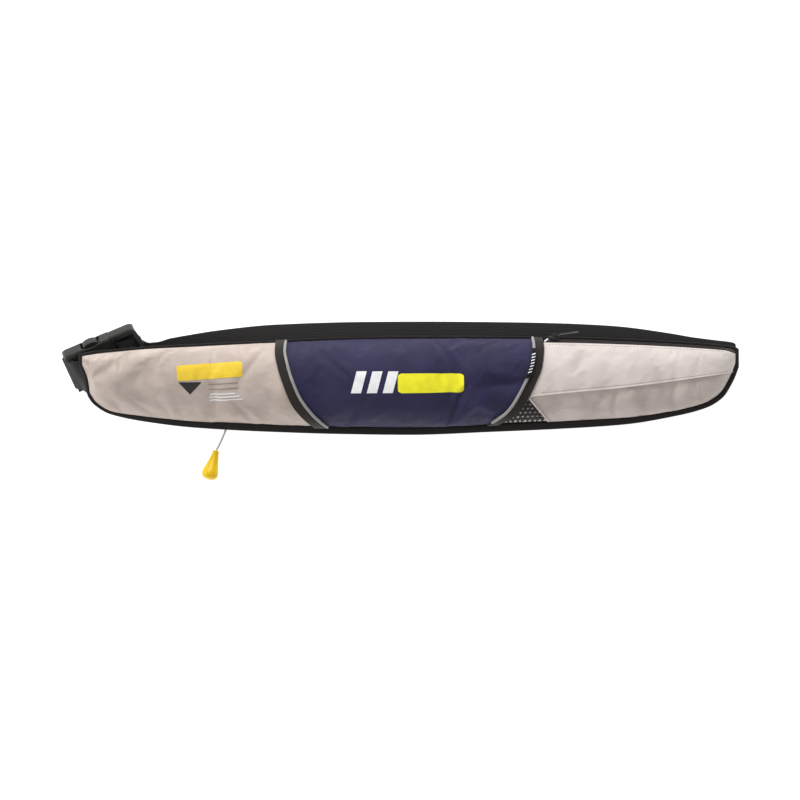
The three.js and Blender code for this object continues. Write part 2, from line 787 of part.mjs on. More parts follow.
function zipSlider() {
  const outlineShape = new THREE.Shape();
  const [l, w] = [sliderLength / 2, sliderWidth / 2];
  outlineShape.moveTo(-l, -w * 0.55);
  outlineShape.lineTo(-l * 0.4, -w);
  outlineShape.lineTo(l * 0.7, -w);
  outlineShape.lineTo(l, -w * 0.7);
  outlineShape.lineTo(l, w * 0.7);
  outlineShape.lineTo(l * 0.7, w);
  outlineShape.lineTo(-l * 0.4, w);
  outlineShape.lineTo(-l, w * 0.55);
  outlineShape.closePath();
  const body = new THREE.ExtrudeGeometry(outlineShape, { depth: sliderThickness, bevelEnabled: false });
  const arch = new THREE.Shape();
  arch.absarc(0, 0, bailRadius, 0, Math.PI, false);
  arch.absarc(0, 0, bailRadius - bailWire, Math.PI, 0, true);
  arch.closePath();
  const bail = new THREE.ExtrudeGeometry(arch, { depth: bailWidth, bevelEnabled: false, curveSegments: 10 });
  bail.translate(0, 0, -bailWidth / 2);
  bail.rotateX(Math.PI / 2);
  bail.translate(0, 0, sliderThickness - 0.1);
  return toGeometry(joined(body, bail));
}
addMesh("zip_slider", zipSlider(), coatedMetal, zipFrame);

// The puller turns about the round bar at its eye, which sits under the slider's bail.
const pinRadius = 0.65;
const pinHeight = sliderThickness + clearance + pinRadius;
const eyeLength = bailRadius + pinRadius + 0.9;
function zipPuller() {
  const half = pullerWidth / 2;
  const eyeHalf = bailWidth / 2 + 0.5;
  const shape = new THREE.Shape();
  shape.moveTo(0, -half);
  shape.lineTo(pullerLength * 0.55, -half * 0.72);
  shape.lineTo(pullerLength * 0.92, -half);
  shape.lineTo(pullerLength, -half * 0.6);
  shape.lineTo(pullerLength, half * 0.6);
  shape.lineTo(pullerLength * 0.92, half);
  shape.lineTo(pullerLength * 0.55, half * 0.72);
  shape.lineTo(0, half);
  shape.closePath();
  const eye = new THREE.Path();
  eye.moveTo(pinRadius * 0.5, -eyeHalf);
  eye.lineTo(pinRadius * 0.5, eyeHalf);
  eye.lineTo(eyeLength, eyeHalf);
  eye.lineTo(eyeLength, -eyeHalf);
  eye.closePath();
  shape.holes.push(eye);
  const blade = new THREE.ExtrudeGeometry(shape, { depth: pullerThickness, bevelEnabled: false });
  blade.translate(0, 0, -pullerThickness / 2);
  const pin = new THREE.CylinderGeometry(pinRadius, pinRadius, pullerWidth, 8);
  return toGeometry(joined(blade, pin));
}
const pullerPivot = new THREE.Group();
pullerPivot.position.set(0, 0, pinHeight);
pullerPivot.rotation.y = -pullerRise * radians;
zipFrame.add(pullerPivot);
addMesh("zip_puller", zipPuller(), coatedMetal, pullerPivot);

// A band of webbing through frames of its own: middle, and unit directions across and through.
function webbingGeometry(stations, width, thickness) {
  const corner = (k, side, face) => {
    const { middle, wide, through } = stations[k];
    return middle
      .clone()
      .addScaledVector(wide, (side * width) / 2)
      .addScaledVector(through, (face * thickness) / 2);
  };
  const last = stations.length - 1;
  const at = (face) => (i, j) => corner(Math.round(i * last), 2 * j - 1, face);
  return sheetSolid(last, 1, at(1), at(-1));
}

// The buckle's frame: x along it from its left end, y across it to its raised edge, z out of
// its face. The lower edge of its back rests on the floor.
const heading = buckleHeading * radians;
const lean = buckleLean * radians;
const buckleAlong = new THREE.Vector3(Math.cos(heading), Math.sin(heading), 0);
const buckleAcross = new THREE.Vector3(
  -Math.sin(heading) * Math.cos(lean),
  Math.cos(heading) * Math.cos(lean),
  Math.sin(lean),
);
const buckleOut = new THREE.Vector3().crossVectors(buckleAlong, buckleAcross);
const buckleLeftOfPouch = 9.5;
const buckleHeightShare = 0.1258;
const buckleOrigin = new THREE.Vector3(
  -halfLength - buckleLeftOfPouch,
  buckleHeightShare * pouchHeight,
  (buckleWidth / 2) * Math.sin(lean) + (buckleThickness / 2) * Math.cos(lean),
);
const buckleFrame = new THREE.Group();
buckleFrame.setRotationFromMatrix(
  new THREE.Matrix4().makeBasis(buckleAlong, buckleAcross, buckleOut),
);
buckleFrame.position.copy(buckleOrigin);
group.add(buckleFrame);

function fromBuckle(s, q, r) {
  return buckleOrigin
    .clone()
    .addScaledVector(buckleAlong, s)
    .addScaledVector(buckleAcross, q)
    .addScaledVector(buckleOut, r);
}

// A plate with bevelled long edges, from s0 to s1 along the buckle
function bevelledBar(s0, s1, halfWidth, halfThickness, bevel) {
  const shape = new THREE.Shape();
  const [y, z] = [halfWidth, halfThickness];
  shape.moveTo(-y + bevel, -z);
  shape.lineTo(y - bevel, -z);
  shape.lineTo(y, -z + bevel);
  shape.lineTo(y, z - bevel);
  shape.lineTo(y - bevel, z);
  shape.lineTo(-y + bevel, z);
  shape.lineTo(-y, z - bevel);
  shape.lineTo(-y, -z + bevel);
  shape.closePath();
  const bar = new THREE.ExtrudeGeometry(shape, { depth: s1 - s0, bevelEnabled: false });
  bar.rotateX(Math.PI / 2);
  bar.rotateZ(Math.PI / 2);
  bar.translate(s0, 0, 0);
  return bar;
}

const halfBuckle = buckleWidth / 2;
const halfOpening = webbingWidth / 2 + 0.6;
const bodyStart = 2 * barRadius + slotLength;
const railBevel = 1.6;

// Round bar across the buckle, which webbing passes round
function crossBar(s) {
  const bar = new THREE.CylinderGeometry(barRadius, barRadius, 2 * halfOpening + 3, 12);
  bar.translate(s, 0, 0);
  return toSolid(bar);
}

// Socket: two rails that hold the bar of the tab, then a hollow body with a scooped window in
// each edge
function femaleBuckle() {
  let solid = toSolid(bevelledBar(0, femaleLength, halfBuckle, buckleThickness / 2, railBevel));
  const cut = (...range) => {
    solid = solid.subtract(toSolid(box(...range)));
  };
  const inside = halfBuckle - buckleWall;
  const cavity = buckleThickness / 2 - buckleWall;
  cut(-1, bodyStart, -halfOpening, halfOpening, -buckleThickness, buckleThickness);
  cut(bodyStart + buckleWall, femaleLength + 1, -inside, inside, -cavity, cavity);
  const scoopRadius = 22;
  const scoopDepth = 2.6;
  for (const side of [-1, 1]) {
    const [from, to] = side > 0 ? [inside - 1, halfBuckle + 1] : [-halfBuckle - 1, 1 - inside];
    cut(windowStart, windowStart + windowLength, from, to, -cavity, cavity);
    const scoop = new THREE.CylinderGeometry(scoopRadius, scoopRadius, buckleThickness * 2, 28);
    scoop.rotateX(Math.PI / 2);
    scoop.translate(windowStart + windowLength / 2, side * (halfBuckle + scoopRadius - scoopDepth), 0);
    solid = solid.subtract(toSolid(scoop));
  }
  return toGeometry(solid.add(crossBar(barRadius)));
}

// Male half: an adjuster frame with its two bars, and two sprung prongs whose grips show in the
// windows
const frameStart = femaleLength + 0.5;
const adjusterBar = frameStart + adjusterBase + slotLength + barRadius;
function maleBuckle() {
  const halfFrame = buckleThickness / 2 - 1;
  let solid = toSolid(bevelledBar(frameStart, buckleLength, halfBuckle, halfFrame, railBevel));
  const slots = [frameStart + adjusterBase, buckleLength + 1];
  solid = solid.subtract(toSolid(box(...slots, -halfOpening, halfOpening, -halfFrame - 1, halfFrame + 1)));
  solid = solid.add(crossBar(adjusterBar)).add(crossBar(buckleLength - barRadius));
  const reach = buckleThickness / 2 - buckleWall - 0.4;
  const inner = halfBuckle - buckleWall - 0.5;
  const root = frameStart + 1;
  const armWidth = 5;
  const tongue = box(bodyStart + 9, root, -4, 4, -reach, reach);
  const prongs = [-1, 1].map((side) => {
    const prong = new THREE.Shape();
    const y = (value) => side * value;
    prong.moveTo(root, y(inner - armWidth));
    prong.lineTo(windowStart + windowLength, y(inner - armWidth));
    prong.lineTo(windowStart, y(inner - armWidth - 2));
    prong.lineTo(windowStart + 1.4, y(inner));
    for (let k = 0; k <= 8; k += 1) {
      const angle = (Math.PI * k) / 8;
      const s = windowStart + windowLength / 2 - Math.cos(angle) * (windowLength / 2 - 1.4);
      prong.lineTo(s, y(inner + Math.sin(angle) * (buckleWall + 0.2)));
    }
    prong.lineTo(root, y(inner));
    prong.closePath();
    const arm = new THREE.ExtrudeGeometry(prong, { depth: 2 * reach, bevelEnabled: false });
    arm.translate(0, 0, -reach);
    return arm;
  });
  for (const piece of [tongue, ...prongs]) solid = solid.add(toSolid(piece));
  return toGeometry(solid);
}
addMesh("buckle_female", femaleBuckle(), plasticBlack, buckleFrame);
addMesh("buckle_male", maleBuckle(), plasticBlack, buckleFrame);

// Stations of webbing that follow a line in the buckle's own long section
function sectionStations(points) {
  return points.map(([s, r], k) => {
    const before = points[Math.max(0, k - 1)];
    const after = points[Math.min(points.length - 1, k + 1)];
    const direction = new THREE.Vector2(after[0] - before[0], after[1] - before[1]).normalize();
    const through = new THREE.Vector3()
      .addScaledVector(buckleAlong, -direction.y)
      .addScaledVector(buckleOut, direction.x);
    return { middle: fromBuckle(s, 0, r), wide: buckleAcross.clone(), through };
  });
}

function arcPoints(centreS, centreR, radius, from, to, steps) {
  const points = [];
  for (let k = 0; k <= steps; k += 1) {
    const angle = mix(from, to, k / steps) * radians;
    points.push([centreS + radius * Math.cos(angle), centreR + radius * Math.sin(angle)]);
  }
  return points;
}

const wrapRadius = barRadius + clearance + webbingThickness / 2;

// Belt: stitched behind the pouch's right end, along the floor behind it, under the adjuster's
// end bar, up and over its inner bar, and back out behind as a short tail
function beltStations() {
  const route = beltRoute.map((row, k) => {
    const before = beltRoute[Math.max(0, k - 1)];
    const after = beltRoute[Math.min(beltRoute.length - 1, k + 1)];
    const turn = row.turn * radians;
    const tilt = row.lean * radians;
    const wide = new THREE.Vector3(
      -Math.sin(turn) * Math.cos(tilt),
      Math.cos(turn) * Math.cos(tilt),
      Math.sin(tilt),
    );
    const direction = new THREE.Vector3(
      (before.along - after.along) * halfLength,
      (before.height - after.height) * pouchHeight,
      (before.rise - after.rise) * webbingWidth,
    );
    const through = new THREE.Vector3().crossVectors(direction, wide).normalize();
    const selvedge = new THREE.Vector3(
      row.along * halfLength,
      row.height * pouchHeight,
      row.rise * webbingWidth + webbingThickness / 2,
    );
    return { middle: selvedge.addScaledVector(wide, -webbingWidth / 2), wide, through };
  });
  const endBar = buckleLength - barRadius;
  const climb = Math.asin((2 * wrapRadius) / (endBar - adjusterBar)) / radians;
  const loop = sectionStations([
    [buckleLength + 0.7, -wrapRadius - 0.3],
    [endBar, -wrapRadius],
    ...arcPoints(endBar, 0, wrapRadius, 262, 270 - climb, 2),
    ...arcPoints(adjusterBar, 0, wrapRadius, 90 - climb, 270, 9),
    [adjusterBar + tailLength * 0.3, -wrapRadius - 0.2],
    [adjusterBar + tailLength * 0.55, -wrapRadius - 0.9],
    [adjusterBar + tailLength * 0.8, -wrapRadius - 2.2],
    [adjusterBar + tailLength, -wrapRadius - 3],
  ]);
  for (const station of loop) station.through.negate();
  return [...route, ...loop];
}

// Tab: stitched under the pouch's left end, down round the socket's bar, up through its slot
// and back against itself
const tabSlope = new THREE.Vector2(0.68, 0.73);
function tabStations() {
  const beside = new THREE.Vector2(-tabSlope.y, tabSlope.x);
  const upward = (side, reach) => {
    const from = beside.clone().multiplyScalar(wrapRadius - side);
    return [barRadius + from.x + tabSlope.x * reach, from.y + tabSlope.y * reach];
  };
  const layers = webbingThickness + clearance;
  const outwards = Math.atan2(beside.y, beside.x) / radians;
  const fold = sectionStations([
    upward(0, 8),
    upward(0, 5),
    ...arcPoints(barRadius, 0, wrapRadius, outwards, 360, 12),
    [barRadius + wrapRadius, 2.5],
    upward(layers, 7.5),
    upward(layers, 10),
  ]);
  for (const station of fold) station.through.negate();
  const slope = Math.atan(leftEndTwist);
  const drop = bindingWall + 2 * clearance + webbingThickness / 2 + 1;
  const sewn = [0.905, 0.935, 0.962].map((share) => {
    const x = -share * halfLength;
    const y = tabSeatShare * pouchHeight;
    const middle = new THREE.Vector3(x, y, backHeight(x, y) - drop);
    const wide = new THREE.Vector3(0, Math.cos(slope), Math.sin(slope));
    return { middle, wide, through: new THREE.Vector3(0, 0, 1) };
  });
  return [...sewn, ...fold];
}
addMesh("belt_webbing", webbingGeometry(beltStations(), webbingWidth, webbingThickness), webbingBlack);
addMesh("buckle_tab", webbingGeometry(tabStations(), webbingWidth, webbingThickness), webbingBlack);

// Pull cord, the guide it comes out of, and its handle, which lies on its side
const cordPoints = cordRoute.map((point) => new THREE.Vector3(...point));
const mouth = cordPoints[0];
mouth.z = backHeight(mouth.x, mouth.y) - trimGap - guideRadius;
const cordCurve = new THREE.CatmullRomCurve3(cordPoints);
addMesh("pull_cord", tube(cordCurve, cordDiameter / 2, 16, 8), { color: 0xe4e4e2, roughness: 0.7 });

function cordGuide() {
  const direction = mouth.clone().sub(cordPoints[1]).setZ(0).normalize();
  const start = mouth.clone().addScaledVector(direction, trimGap);
  const guide = new THREE.CylinderGeometry(guideRadius, guideRadius, guideLength, 12);
  guide.translate(0, guideLength / 2, 0);
  const turn = new THREE.Quaternion().setFromUnitVectors(new THREE.Vector3(0, 1, 0), direction);
  guide.applyQuaternion(turn);
  guide.translate(start.x, start.y, start.z);
  return guide;
}
addMesh("cord_guide", cordGuide(), plasticBlack);

function pullToggle() {
  const profile = [
    [0, 0],
    [toggleNeckRadius * 0.75, 0],
    [toggleNeckRadius, 0.025],
    [toggleNeckRadius * 1.03, 0.1],
    [mix(toggleNeckRadius, toggleRadius, 0.45), 0.42],
    [mix(toggleNeckRadius, toggleRadius, 0.86), 0.68],
    [toggleRadius, 0.8],
    [toggleRadius * 0.93, 0.89],
    [toggleRadius * 0.68, 0.965],
    [toggleRadius * 0.35, 0.993],
    [0, 1],
  ].map(([radius, share]) => new THREE.Vector2(radius, share * toggleLength));
  const handle = new THREE.LatheGeometry(profile, 16);
  const dip = Math.asin((toggleRadius - toggleNeckRadius) / (0.8 * toggleLength));
  const direction = new THREE.Vector3(
    Math.cos(toggleHeading * radians) * Math.cos(dip),
    Math.sin(toggleHeading * radians) * Math.cos(dip),
    Math.sin(dip),
  );
  handle.applyQuaternion(
    new THREE.Quaternion().setFromUnitVectors(new THREE.Vector3(0, 1, 0), direction),
  );
  handle.translate(toggleNeck.x, toggleNeck.y, toggleNeck.z);
  return handle;
}
addMesh("pull_toggle", pullToggle(), printYellow);

// The origin is the middle of the pack's footprint on the floor, without the cord and handle.
const assembly = new THREE.Group();
assembly.add(group);
assembly.updateMatrixWorld(true);
const loose = ["pull_cord", "pull_toggle"];
const extent = new THREE.Box3();
group.traverse((part) => {
  if (part.isMesh && !loose.includes(part.name)) extent.expandByObject(part, true);
});
const middle = extent.getCenter(new THREE.Vector3());
group.position.set(-middle.x, -middle.y, -extent.min.z);

export default assembly;
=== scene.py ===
import json
import math

import bpy
import numpy as np
from mathutils import Matrix, Vector
from mathutils.kdtree import KDTree

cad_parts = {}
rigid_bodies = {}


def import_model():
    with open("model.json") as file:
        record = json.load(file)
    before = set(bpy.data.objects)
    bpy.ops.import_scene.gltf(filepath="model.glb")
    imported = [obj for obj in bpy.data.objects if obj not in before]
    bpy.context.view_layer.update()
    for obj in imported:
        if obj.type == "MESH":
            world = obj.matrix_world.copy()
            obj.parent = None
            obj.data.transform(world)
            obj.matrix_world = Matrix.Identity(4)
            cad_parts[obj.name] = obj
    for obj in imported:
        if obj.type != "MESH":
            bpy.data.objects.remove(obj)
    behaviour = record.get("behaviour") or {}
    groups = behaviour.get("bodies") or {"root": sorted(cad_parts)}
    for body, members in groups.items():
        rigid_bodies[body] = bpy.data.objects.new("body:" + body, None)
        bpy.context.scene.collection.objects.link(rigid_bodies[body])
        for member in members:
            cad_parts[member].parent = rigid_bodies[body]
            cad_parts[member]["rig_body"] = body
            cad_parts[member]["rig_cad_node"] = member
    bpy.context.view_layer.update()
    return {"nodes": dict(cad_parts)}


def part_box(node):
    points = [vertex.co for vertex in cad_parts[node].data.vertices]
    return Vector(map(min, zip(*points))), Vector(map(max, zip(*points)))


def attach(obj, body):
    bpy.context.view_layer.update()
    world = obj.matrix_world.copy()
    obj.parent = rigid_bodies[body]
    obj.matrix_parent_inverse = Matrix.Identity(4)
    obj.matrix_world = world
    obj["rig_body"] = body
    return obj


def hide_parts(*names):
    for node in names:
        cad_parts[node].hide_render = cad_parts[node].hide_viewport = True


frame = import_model()
scene = bpy.context.scene
mm = 0.001

# The pouch's own shape, in millimetres
pouch = {
    "length": 720,
    "height": 106,
    "depth": 44,
    "wall": 1.4,
    "backThickness": 3,
    "endRound": 40,
    "lift": 53.5,
    "twist": 0.45,
    "bindingWall": 1,
    "beltThickness": 2,
    "gap": 0.35,
    "hemGap": 0.7,
    "trimGap": 0.6,
    "lap": 5,
    "printWall": 0.22,
    "topShare": 0.521,
    "bottomBorder": 7.5,
    "cornerBorder": 4,
    # share of the half length, border
    "leftBorder": [(-1, 0.7), (-0.95, 1.1), (-0.9, 2.3), (-0.84, 4.2), (-0.74, 5.6), (-0.6, 6.4)],
    "endBorder": 3,
    "topBorder": 2,
    # along, upper, lower, depth
    "outline": [
        (-1, 0.335, 0.21, 0.5),
        (-0.992, 0.341, 0.15, 0.52),
        (-0.984, 0.346, 0.07, 0.53),
        (-0.975, 0.35, -0.095, 0.54),
        (-0.953, 0.362, -0.195, 0.57),
        (-0.909, 0.377, -0.284, 0.62),
        (-0.8, 0.41, -0.364, 0.74),
        (-0.65, 0.437, -0.425, 0.86),
        (-0.45, 0.472, -0.464, 0.94),
        (-0.2, 0.509, -0.491, 1),
        (0, 0.521, -0.499, 1),
        (0.25, 0.521, -0.468, 0.98),
        (0.45, 0.515, -0.438, 0.9),
        (0.65, 0.495, -0.393, 0.8),
        (0.8, 0.47, -0.31, 0.7),
        (0.9, 0.446, -0.221, 0.6),
        (0.95, 0.43, -0.118, 0.55),
        (0.985, 0.414, 0.07, 0.5),
        (1, 0.39, 0.2, 0.48),
    ],
    # across, left, right
    "strips": [
        (0, -0.258, 0.236),
        (0.05, -0.277, 0.266),
        (0.14, -0.304, 0.302),
        (0.33, -0.342, 0.339),
        (0.51, -0.363, 0.363),
        (0.7, -0.379, 0.381),
        (0.88, -0.388, 0.386),
        (1, -0.385, 0.382),
    ],
    "seam": [(0.36, -0.106), (0.52, -0.052), (0.64, -0.015), (0.76, 0.036), (0.88, 0.092), (1, 0.157)],
    # along, height, run, spread, heading, lift
    "folds": [
        (-0.86, 0.12, 0.3, 0.09, 35, 0.05),
        (-0.78, -0.12, 0.34, 0.1, -40, -0.07),
        (-0.7, -0.22, 0.24, 0.08, -52, 0.06),
        (-0.6, -0.24, 0.22, 0.09, -60, -0.06),
        (-0.52, -0.26, 0.24, 0.08, -55, 0.06),
        (-0.43, -0.24, 0.24, 0.1, -42, -0.06),
        (-0.28, 0.0, 0.3, 0.12, -60, -0.05),
        (-0.12, -0.24, 0.4, 0.11, 12, 0.05),
        (0.08, 0.34, 0.24, 0.08, -55, 0.05),
        (0.1, -0.26, 0.22, 0.09, 50, -0.05),
        (0.28, 0.0, 0.24, 0.1, 6, -0.07),
        (0.23, -0.24, 0.26, 0.09, -35, 0.05),
        (0.56, -0.2, 0.24, 0.09, 50, -0.05),
        (0.68, -0.16, 0.26, 0.08, -62, 0.06),
        (0.78, -0.06, 0.24, 0.08, -70, -0.06),
    ],
    # finer creases, in the same columns
    "creases": [
        (-0.93, 0.14, 0.16, 0.05, 30, -0.03),
        (-0.9, -0.12, 0.2, 0.05, -48, -0.04),
        (-0.84, -0.2, 0.22, 0.045, -38, 0.04),
        (-0.79, -0.26, 0.2, 0.04, -40, -0.045),
        (-0.76, 0.02, 0.26, 0.06, -65, -0.03),
        (-0.72, -0.24, 0.2, 0.045, -62, 0.045),
        (-0.68, -0.3, 0.14, 0.04, -58, -0.04),
        (-0.62, -0.3, 0.16, 0.04, -50, 0.04),
        (-0.58, -0.31, 0.14, 0.036, -52, -0.045),
        (-0.53, -0.33, 0.14, 0.036, -46, 0.04),
        (-0.5, -0.27, 0.22, 0.04, -42, -0.05),
        (-0.47, -0.3, 0.2, 0.036, -40, 0.045),
        (-0.42, -0.22, 0.24, 0.045, -44, 0.05),
        (-0.4, -0.28, 0.22, 0.04, -42, -0.05),
        (-0.46, 0.3, 0.18, 0.04, 50, -0.016),
        (-0.2, 0.22, 0.22, 0.05, -40, 0.03),
        (-0.17, -0.3, 0.2, 0.045, 48, -0.045),
        (-0.11, -0.34, 0.2, 0.04, 30, 0.04),
        (-0.04, -0.33, 0.24, 0.05, 8, -0.04),
        (0.09, 0.33, 0.2, 0.04, -57, 0.05),
        (0.12, 0.3, 0.2, 0.04, -50, -0.04),
        (0.13, -0.26, 0.2, 0.045, 62, -0.06),
        (0.17, -0.28, 0.18, 0.04, 40, 0.05),
        (0.27, 0.02, 0.22, 0.05, 8, -0.06),
        (0.29, 0.11, 0.2, 0.045, -8, 0.04),
        (0.3, -0.12, 0.16, 0.04, -35, 0.035),
        (0.24, -0.3, 0.2, 0.04, -20, -0.04),
        (0.5, 0.2, 0.24, 0.05, 24, -0.02),
        (0.6, 0.3, 0.24, 0.04, 4, -0.016),
        (0.56, -0.22, 0.16, 0.045, 50, -0.04),
        (0.62, -0.18, 0.2, 0.05, 76, -0.045),
        (0.66, -0.18, 0.18, 0.05, 60, 0.05),
        (0.71, -0.2, 0.18, 0.04, -60, -0.035),
        (0.8, -0.06, 0.2, 0.045, 84, -0.06),
        (0.84, -0.04, 0.2, 0.06, 86, 0.045),
        (0.88, 0.24, 0.2, 0.04, -12, -0.016),
    ],
}
halfLength = pouch["length"] / 2
height = pouch["height"]


def curveThrough(rows, column):
    xs = np.array([row[0] for row in rows], float)
    ys = np.array([row[column] for row in rows], float)
    slopes = np.diff(ys) / np.diff(xs)
    tangents = np.empty(len(xs))
    tangents[0], tangents[-1] = slopes[0], slopes[-1]
    for i in range(1, len(xs) - 1):
        product = slopes[i - 1] * slopes[i]
        tangents[i] = 0 if product <= 0 else 2 * product / (slopes[i - 1] + slopes[i])

    def at(x):
        x = np.asarray(x, float)
        i = np.clip(np.searchsorted(xs, x, side="right") - 1, 0, len(xs) - 2)
        span = xs[i + 1] - xs[i]
        s = np.clip((x - xs[i]) / span, 0, 1)
        bend = s * s * (3 - 2 * s)
        lead = s * (1 - s) ** 2 * tangents[i] * span
        trail = s * s * (s - 1) * tangents[i + 1] * span
        return ys[i] * (1 - bend) + ys[i + 1] * bend + lead + trail

    return at


upperShare = curveThrough(pouch["outline"], 1)
lowerShare = curveThrough(pouch["outline"], 2)
depthShare = curveThrough(pouch["outline"], 3)
leftInner = curveThrough(pouch["strips"], 1)
rightInner = curveThrough(pouch["strips"], 2)
seamHeight = curveThrough(pouch["seam"], 1)


def smoothStep(x, low, high):
    s = np.clip((np.asarray(x, float) - low) / (high - low), 0, 1)
    return s * s * (3 - 2 * s)


def mix(a, b, s):
    return a * (1 - s) + b * s


def backHeight(x, y):
    onFloor = pouch["bindingWall"] + pouch["gap"]
    onBelt = pouch["beltThickness"] + 2 * pouch["gap"]
    overBelt = np.clip(y / height + 0.5, 0, 1.1)
    flat = onFloor + onBelt * np.maximum(overBelt, smoothStep(x / halfLength, 0.78, 0.92))
    propped = smoothStep(-x / halfLength, 0.36, 0.972)
    return flat + propped * (pouch["lift"] + pouch["twist"] * (y - 0.32 * height))


def coverFoot(x, y):
    return backHeight(x, y) + pouch["backThickness"] + pouch["hemGap"]


def lowerEdge(u, inset):
    return lowerShare(u) * height + inset


def upperEdge(u, inset):
    return upperShare(u) * height - inset


def lowerBorder(u):
    right = mix(pouch["bottomBorder"], pouch["cornerBorder"], smoothStep(np.abs(u), 0.5, 0.97))
    shares, borders = np.array(pouch["leftBorder"]).T
    return np.where(np.asarray(u) < shares[-1], np.minimum(right, np.interp(u, shares, borders)), right)


def foldSum(rows, x, y):
    lift = 0
    for along, high, run, spread, heading, size in rows:
        dx, dy = x - along * halfLength, y - high * height
        c, s = math.cos(math.radians(heading)), math.sin(math.radians(heading))
        a = (dx * c + dy * s) / (run * height)
        b = (dy * c - dx * s) / (spread * height)
        lift = lift + size * pouch["depth"] * np.exp(-a * a - b * b)
    return lift


# Small gathers where the cloth is eased into its hems, and a faint unevenness all over
def puckers(x, y, t):
    low = np.exp(-((t / 0.11) ** 2)) * (0.55 + 0.45 * np.sin(x / 37 + 1.3))
    high = np.exp(-(((1 - t) / 0.08) ** 2)) * (0.35 + 0.3 * np.sin(x / 29))
    wave = np.sin(x / 3.1 + 1.9 * np.sin(x / 17) + 0.5 * np.sin(x / 7.3))
    uneven = 0.5 * np.sin(x / 19 + y / 11) * np.sin(x / 31 - y / 13 + 1.7)
    uneven = uneven + 0.28 * np.sin(x / 8.3 - y / 6.1 + 2 * np.sin(y / 17)) * np.sin(x / 13 + y / 9)
    return 0.75 * wave * (low + high) + uneven * np.clip(6 * t * (1 - t), 0, 1)


def skinPoint(u, t, depth, fine=True):
    u, t = np.broadcast_arrays(np.asarray(u, float), np.asarray(t, float))
    x = u * (halfLength - pouch["endBorder"] - pouch["hemGap"] - depth)
    low = lowerEdge(u, lowerBorder(u) + pouch["hemGap"] + depth)
    high = upperEdge(u, pouch["topBorder"] + pouch["hemGap"] + depth)
    y = mix(low, high, t)
    fromEnd = np.maximum(0, np.abs(u) - 1 + pouch["endRound"] / halfLength)
    endRound = np.sqrt(np.maximum(0, 1 - (fromEnd * halfLength / pouch["endRound"]) ** 2))
    section = np.maximum(0, 4 * t * (1 - t)) ** 0.45
    stuffed = (pouch["depth"] * depthShare(u) - depth) * endRound * section
    lift = foldSum(pouch["folds"], x, y)
    if fine:
        lift = 1.3 * lift + foldSum(pouch["creases"], x, y) + puckers(x, y, t)
    z = coverFoot(x, y) + stuffed + lift * endRound * section
    return np.stack([x, y, z], -1)


def normalAt(u, t, fine=True):
    u, t = np.broadcast_arrays(np.asarray(u, float), np.asarray(t, float))
    step = 0.004
    u0, u1 = np.maximum(-0.999, u - step), np.minimum(0.999, u + step)
    t0, t1 = np.maximum(0.0005, t - 2 * step), np.minimum(0.9995, t + 2 * step)
    run = skinPoint(u1, t, 0, fine) - skinPoint(u0, t, 0, fine)
    climb = skinPoint(u, t1, 0, fine) - skinPoint(u, t0, 0, fine)
    n = np.cross(run, climb)
    return n / np.linalg.norm(n, axis=-1, keepdims=True)


def raised(u, t, above, fine=True):
    return skinPoint(u, t, 0, fine) + normalAt(u, t, fine) * above


def coverShares(x, y):
    u = x / (halfLength - pouch["endBorder"] - pouch["hemGap"])
    low = lowerEdge(u, lowerBorder(u) + pouch["hemGap"])
    high = upperEdge(u, pouch["topBorder"] + pouch["hemGap"])
    return u, (y - low) / (high - low)


def seamShare(u):
    x = u * (halfLength - pouch["endBorder"] - pouch["hemGap"])
    return np.clip(coverShares(x, seamHeight(u) * height)[1], 0, 0.7)


coverHeight = 0.88 * height


def edgeBeside(edge, distance, most=1.9):
    def at(t):
        t = np.asarray(t, float)
        t0, t1 = np.maximum(0, t - 0.02), np.minimum(1, t + 0.02)
        slope = (edge(t1) - edge(t0)) * halfLength / ((t1 - t0) * coverHeight)
        return edge(t) + distance / halfLength * np.minimum(most, np.hypot(1, slope))

    return at


stripWidth = 9
stripSpread = 1.3
leftOuter = edgeBeside(leftInner, -stripWidth, stripSpread)
rightOuter = edgeBeside(rightInner, stripWidth, stripSpread)


def leftSeam(t):
    return (leftInner(t) + leftOuter(t)) / 2


def rightSeam(t):
    return (rightInner(t) + rightOuter(t)) / 2


gapShare = pouch["gap"] / halfLength
gussetFoot, gussetTop, gussetCorner = 0.427, 0.3665, 0.286


def gussetEdge(t):
    return mix(gussetFoot, gussetTop, np.asarray(t, float) / gussetCorner)


# The row frame's origin is the middle of the footprint, so everything shifts with the binding
bindingLow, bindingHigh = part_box("edge_binding")
shift = np.array(
    [
        (bindingLow.x + bindingHigh.x) / 2,
        bindingHigh.y - pouch["topShare"] * height * mm,
        0,
    ]
)


def toRow(points):
    return np.asarray(points, float) * mm + shift


print("pouch shape ready", shift)


# Small helpers
def deselectAll():
    if bpy.context.object and bpy.context.object.mode != "OBJECT":
        bpy.ops.object.mode_set(mode="OBJECT")
    bpy.ops.object.select_all(action="DESELECT")


def nameActive(name):
    piece = bpy.context.object
    piece.name = name
    piece.data.name = name
    return piece


def makeActive(piece):
    deselectAll()
    piece.select_set(True)
    bpy.context.view_layer.objects.active = piece


def applyModifiers(piece):
    makeActive(piece)
    for modifier in list(piece.modifiers):
        bpy.ops.object.modifier_apply(modifier=modifier.name)


def smoothPiece(piece, angle):
    makeActive(piece)
    bpy.ops.object.shade_smooth_by_angle(angle=math.radians(angle))


def finishPiece(piece, body, material, nodes=()):
    piece.data.materials.clear()
    piece.data.materials.append(material)
    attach(piece, body)
    if nodes:
        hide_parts(*nodes)
    return piece


def readPoints(piece):
    flat = np.empty(len(piece.data.vertices) * 3, np.float32)
    piece.data.vertices.foreach_get("co", flat)
    return flat.reshape(-1, 3).astype(float)


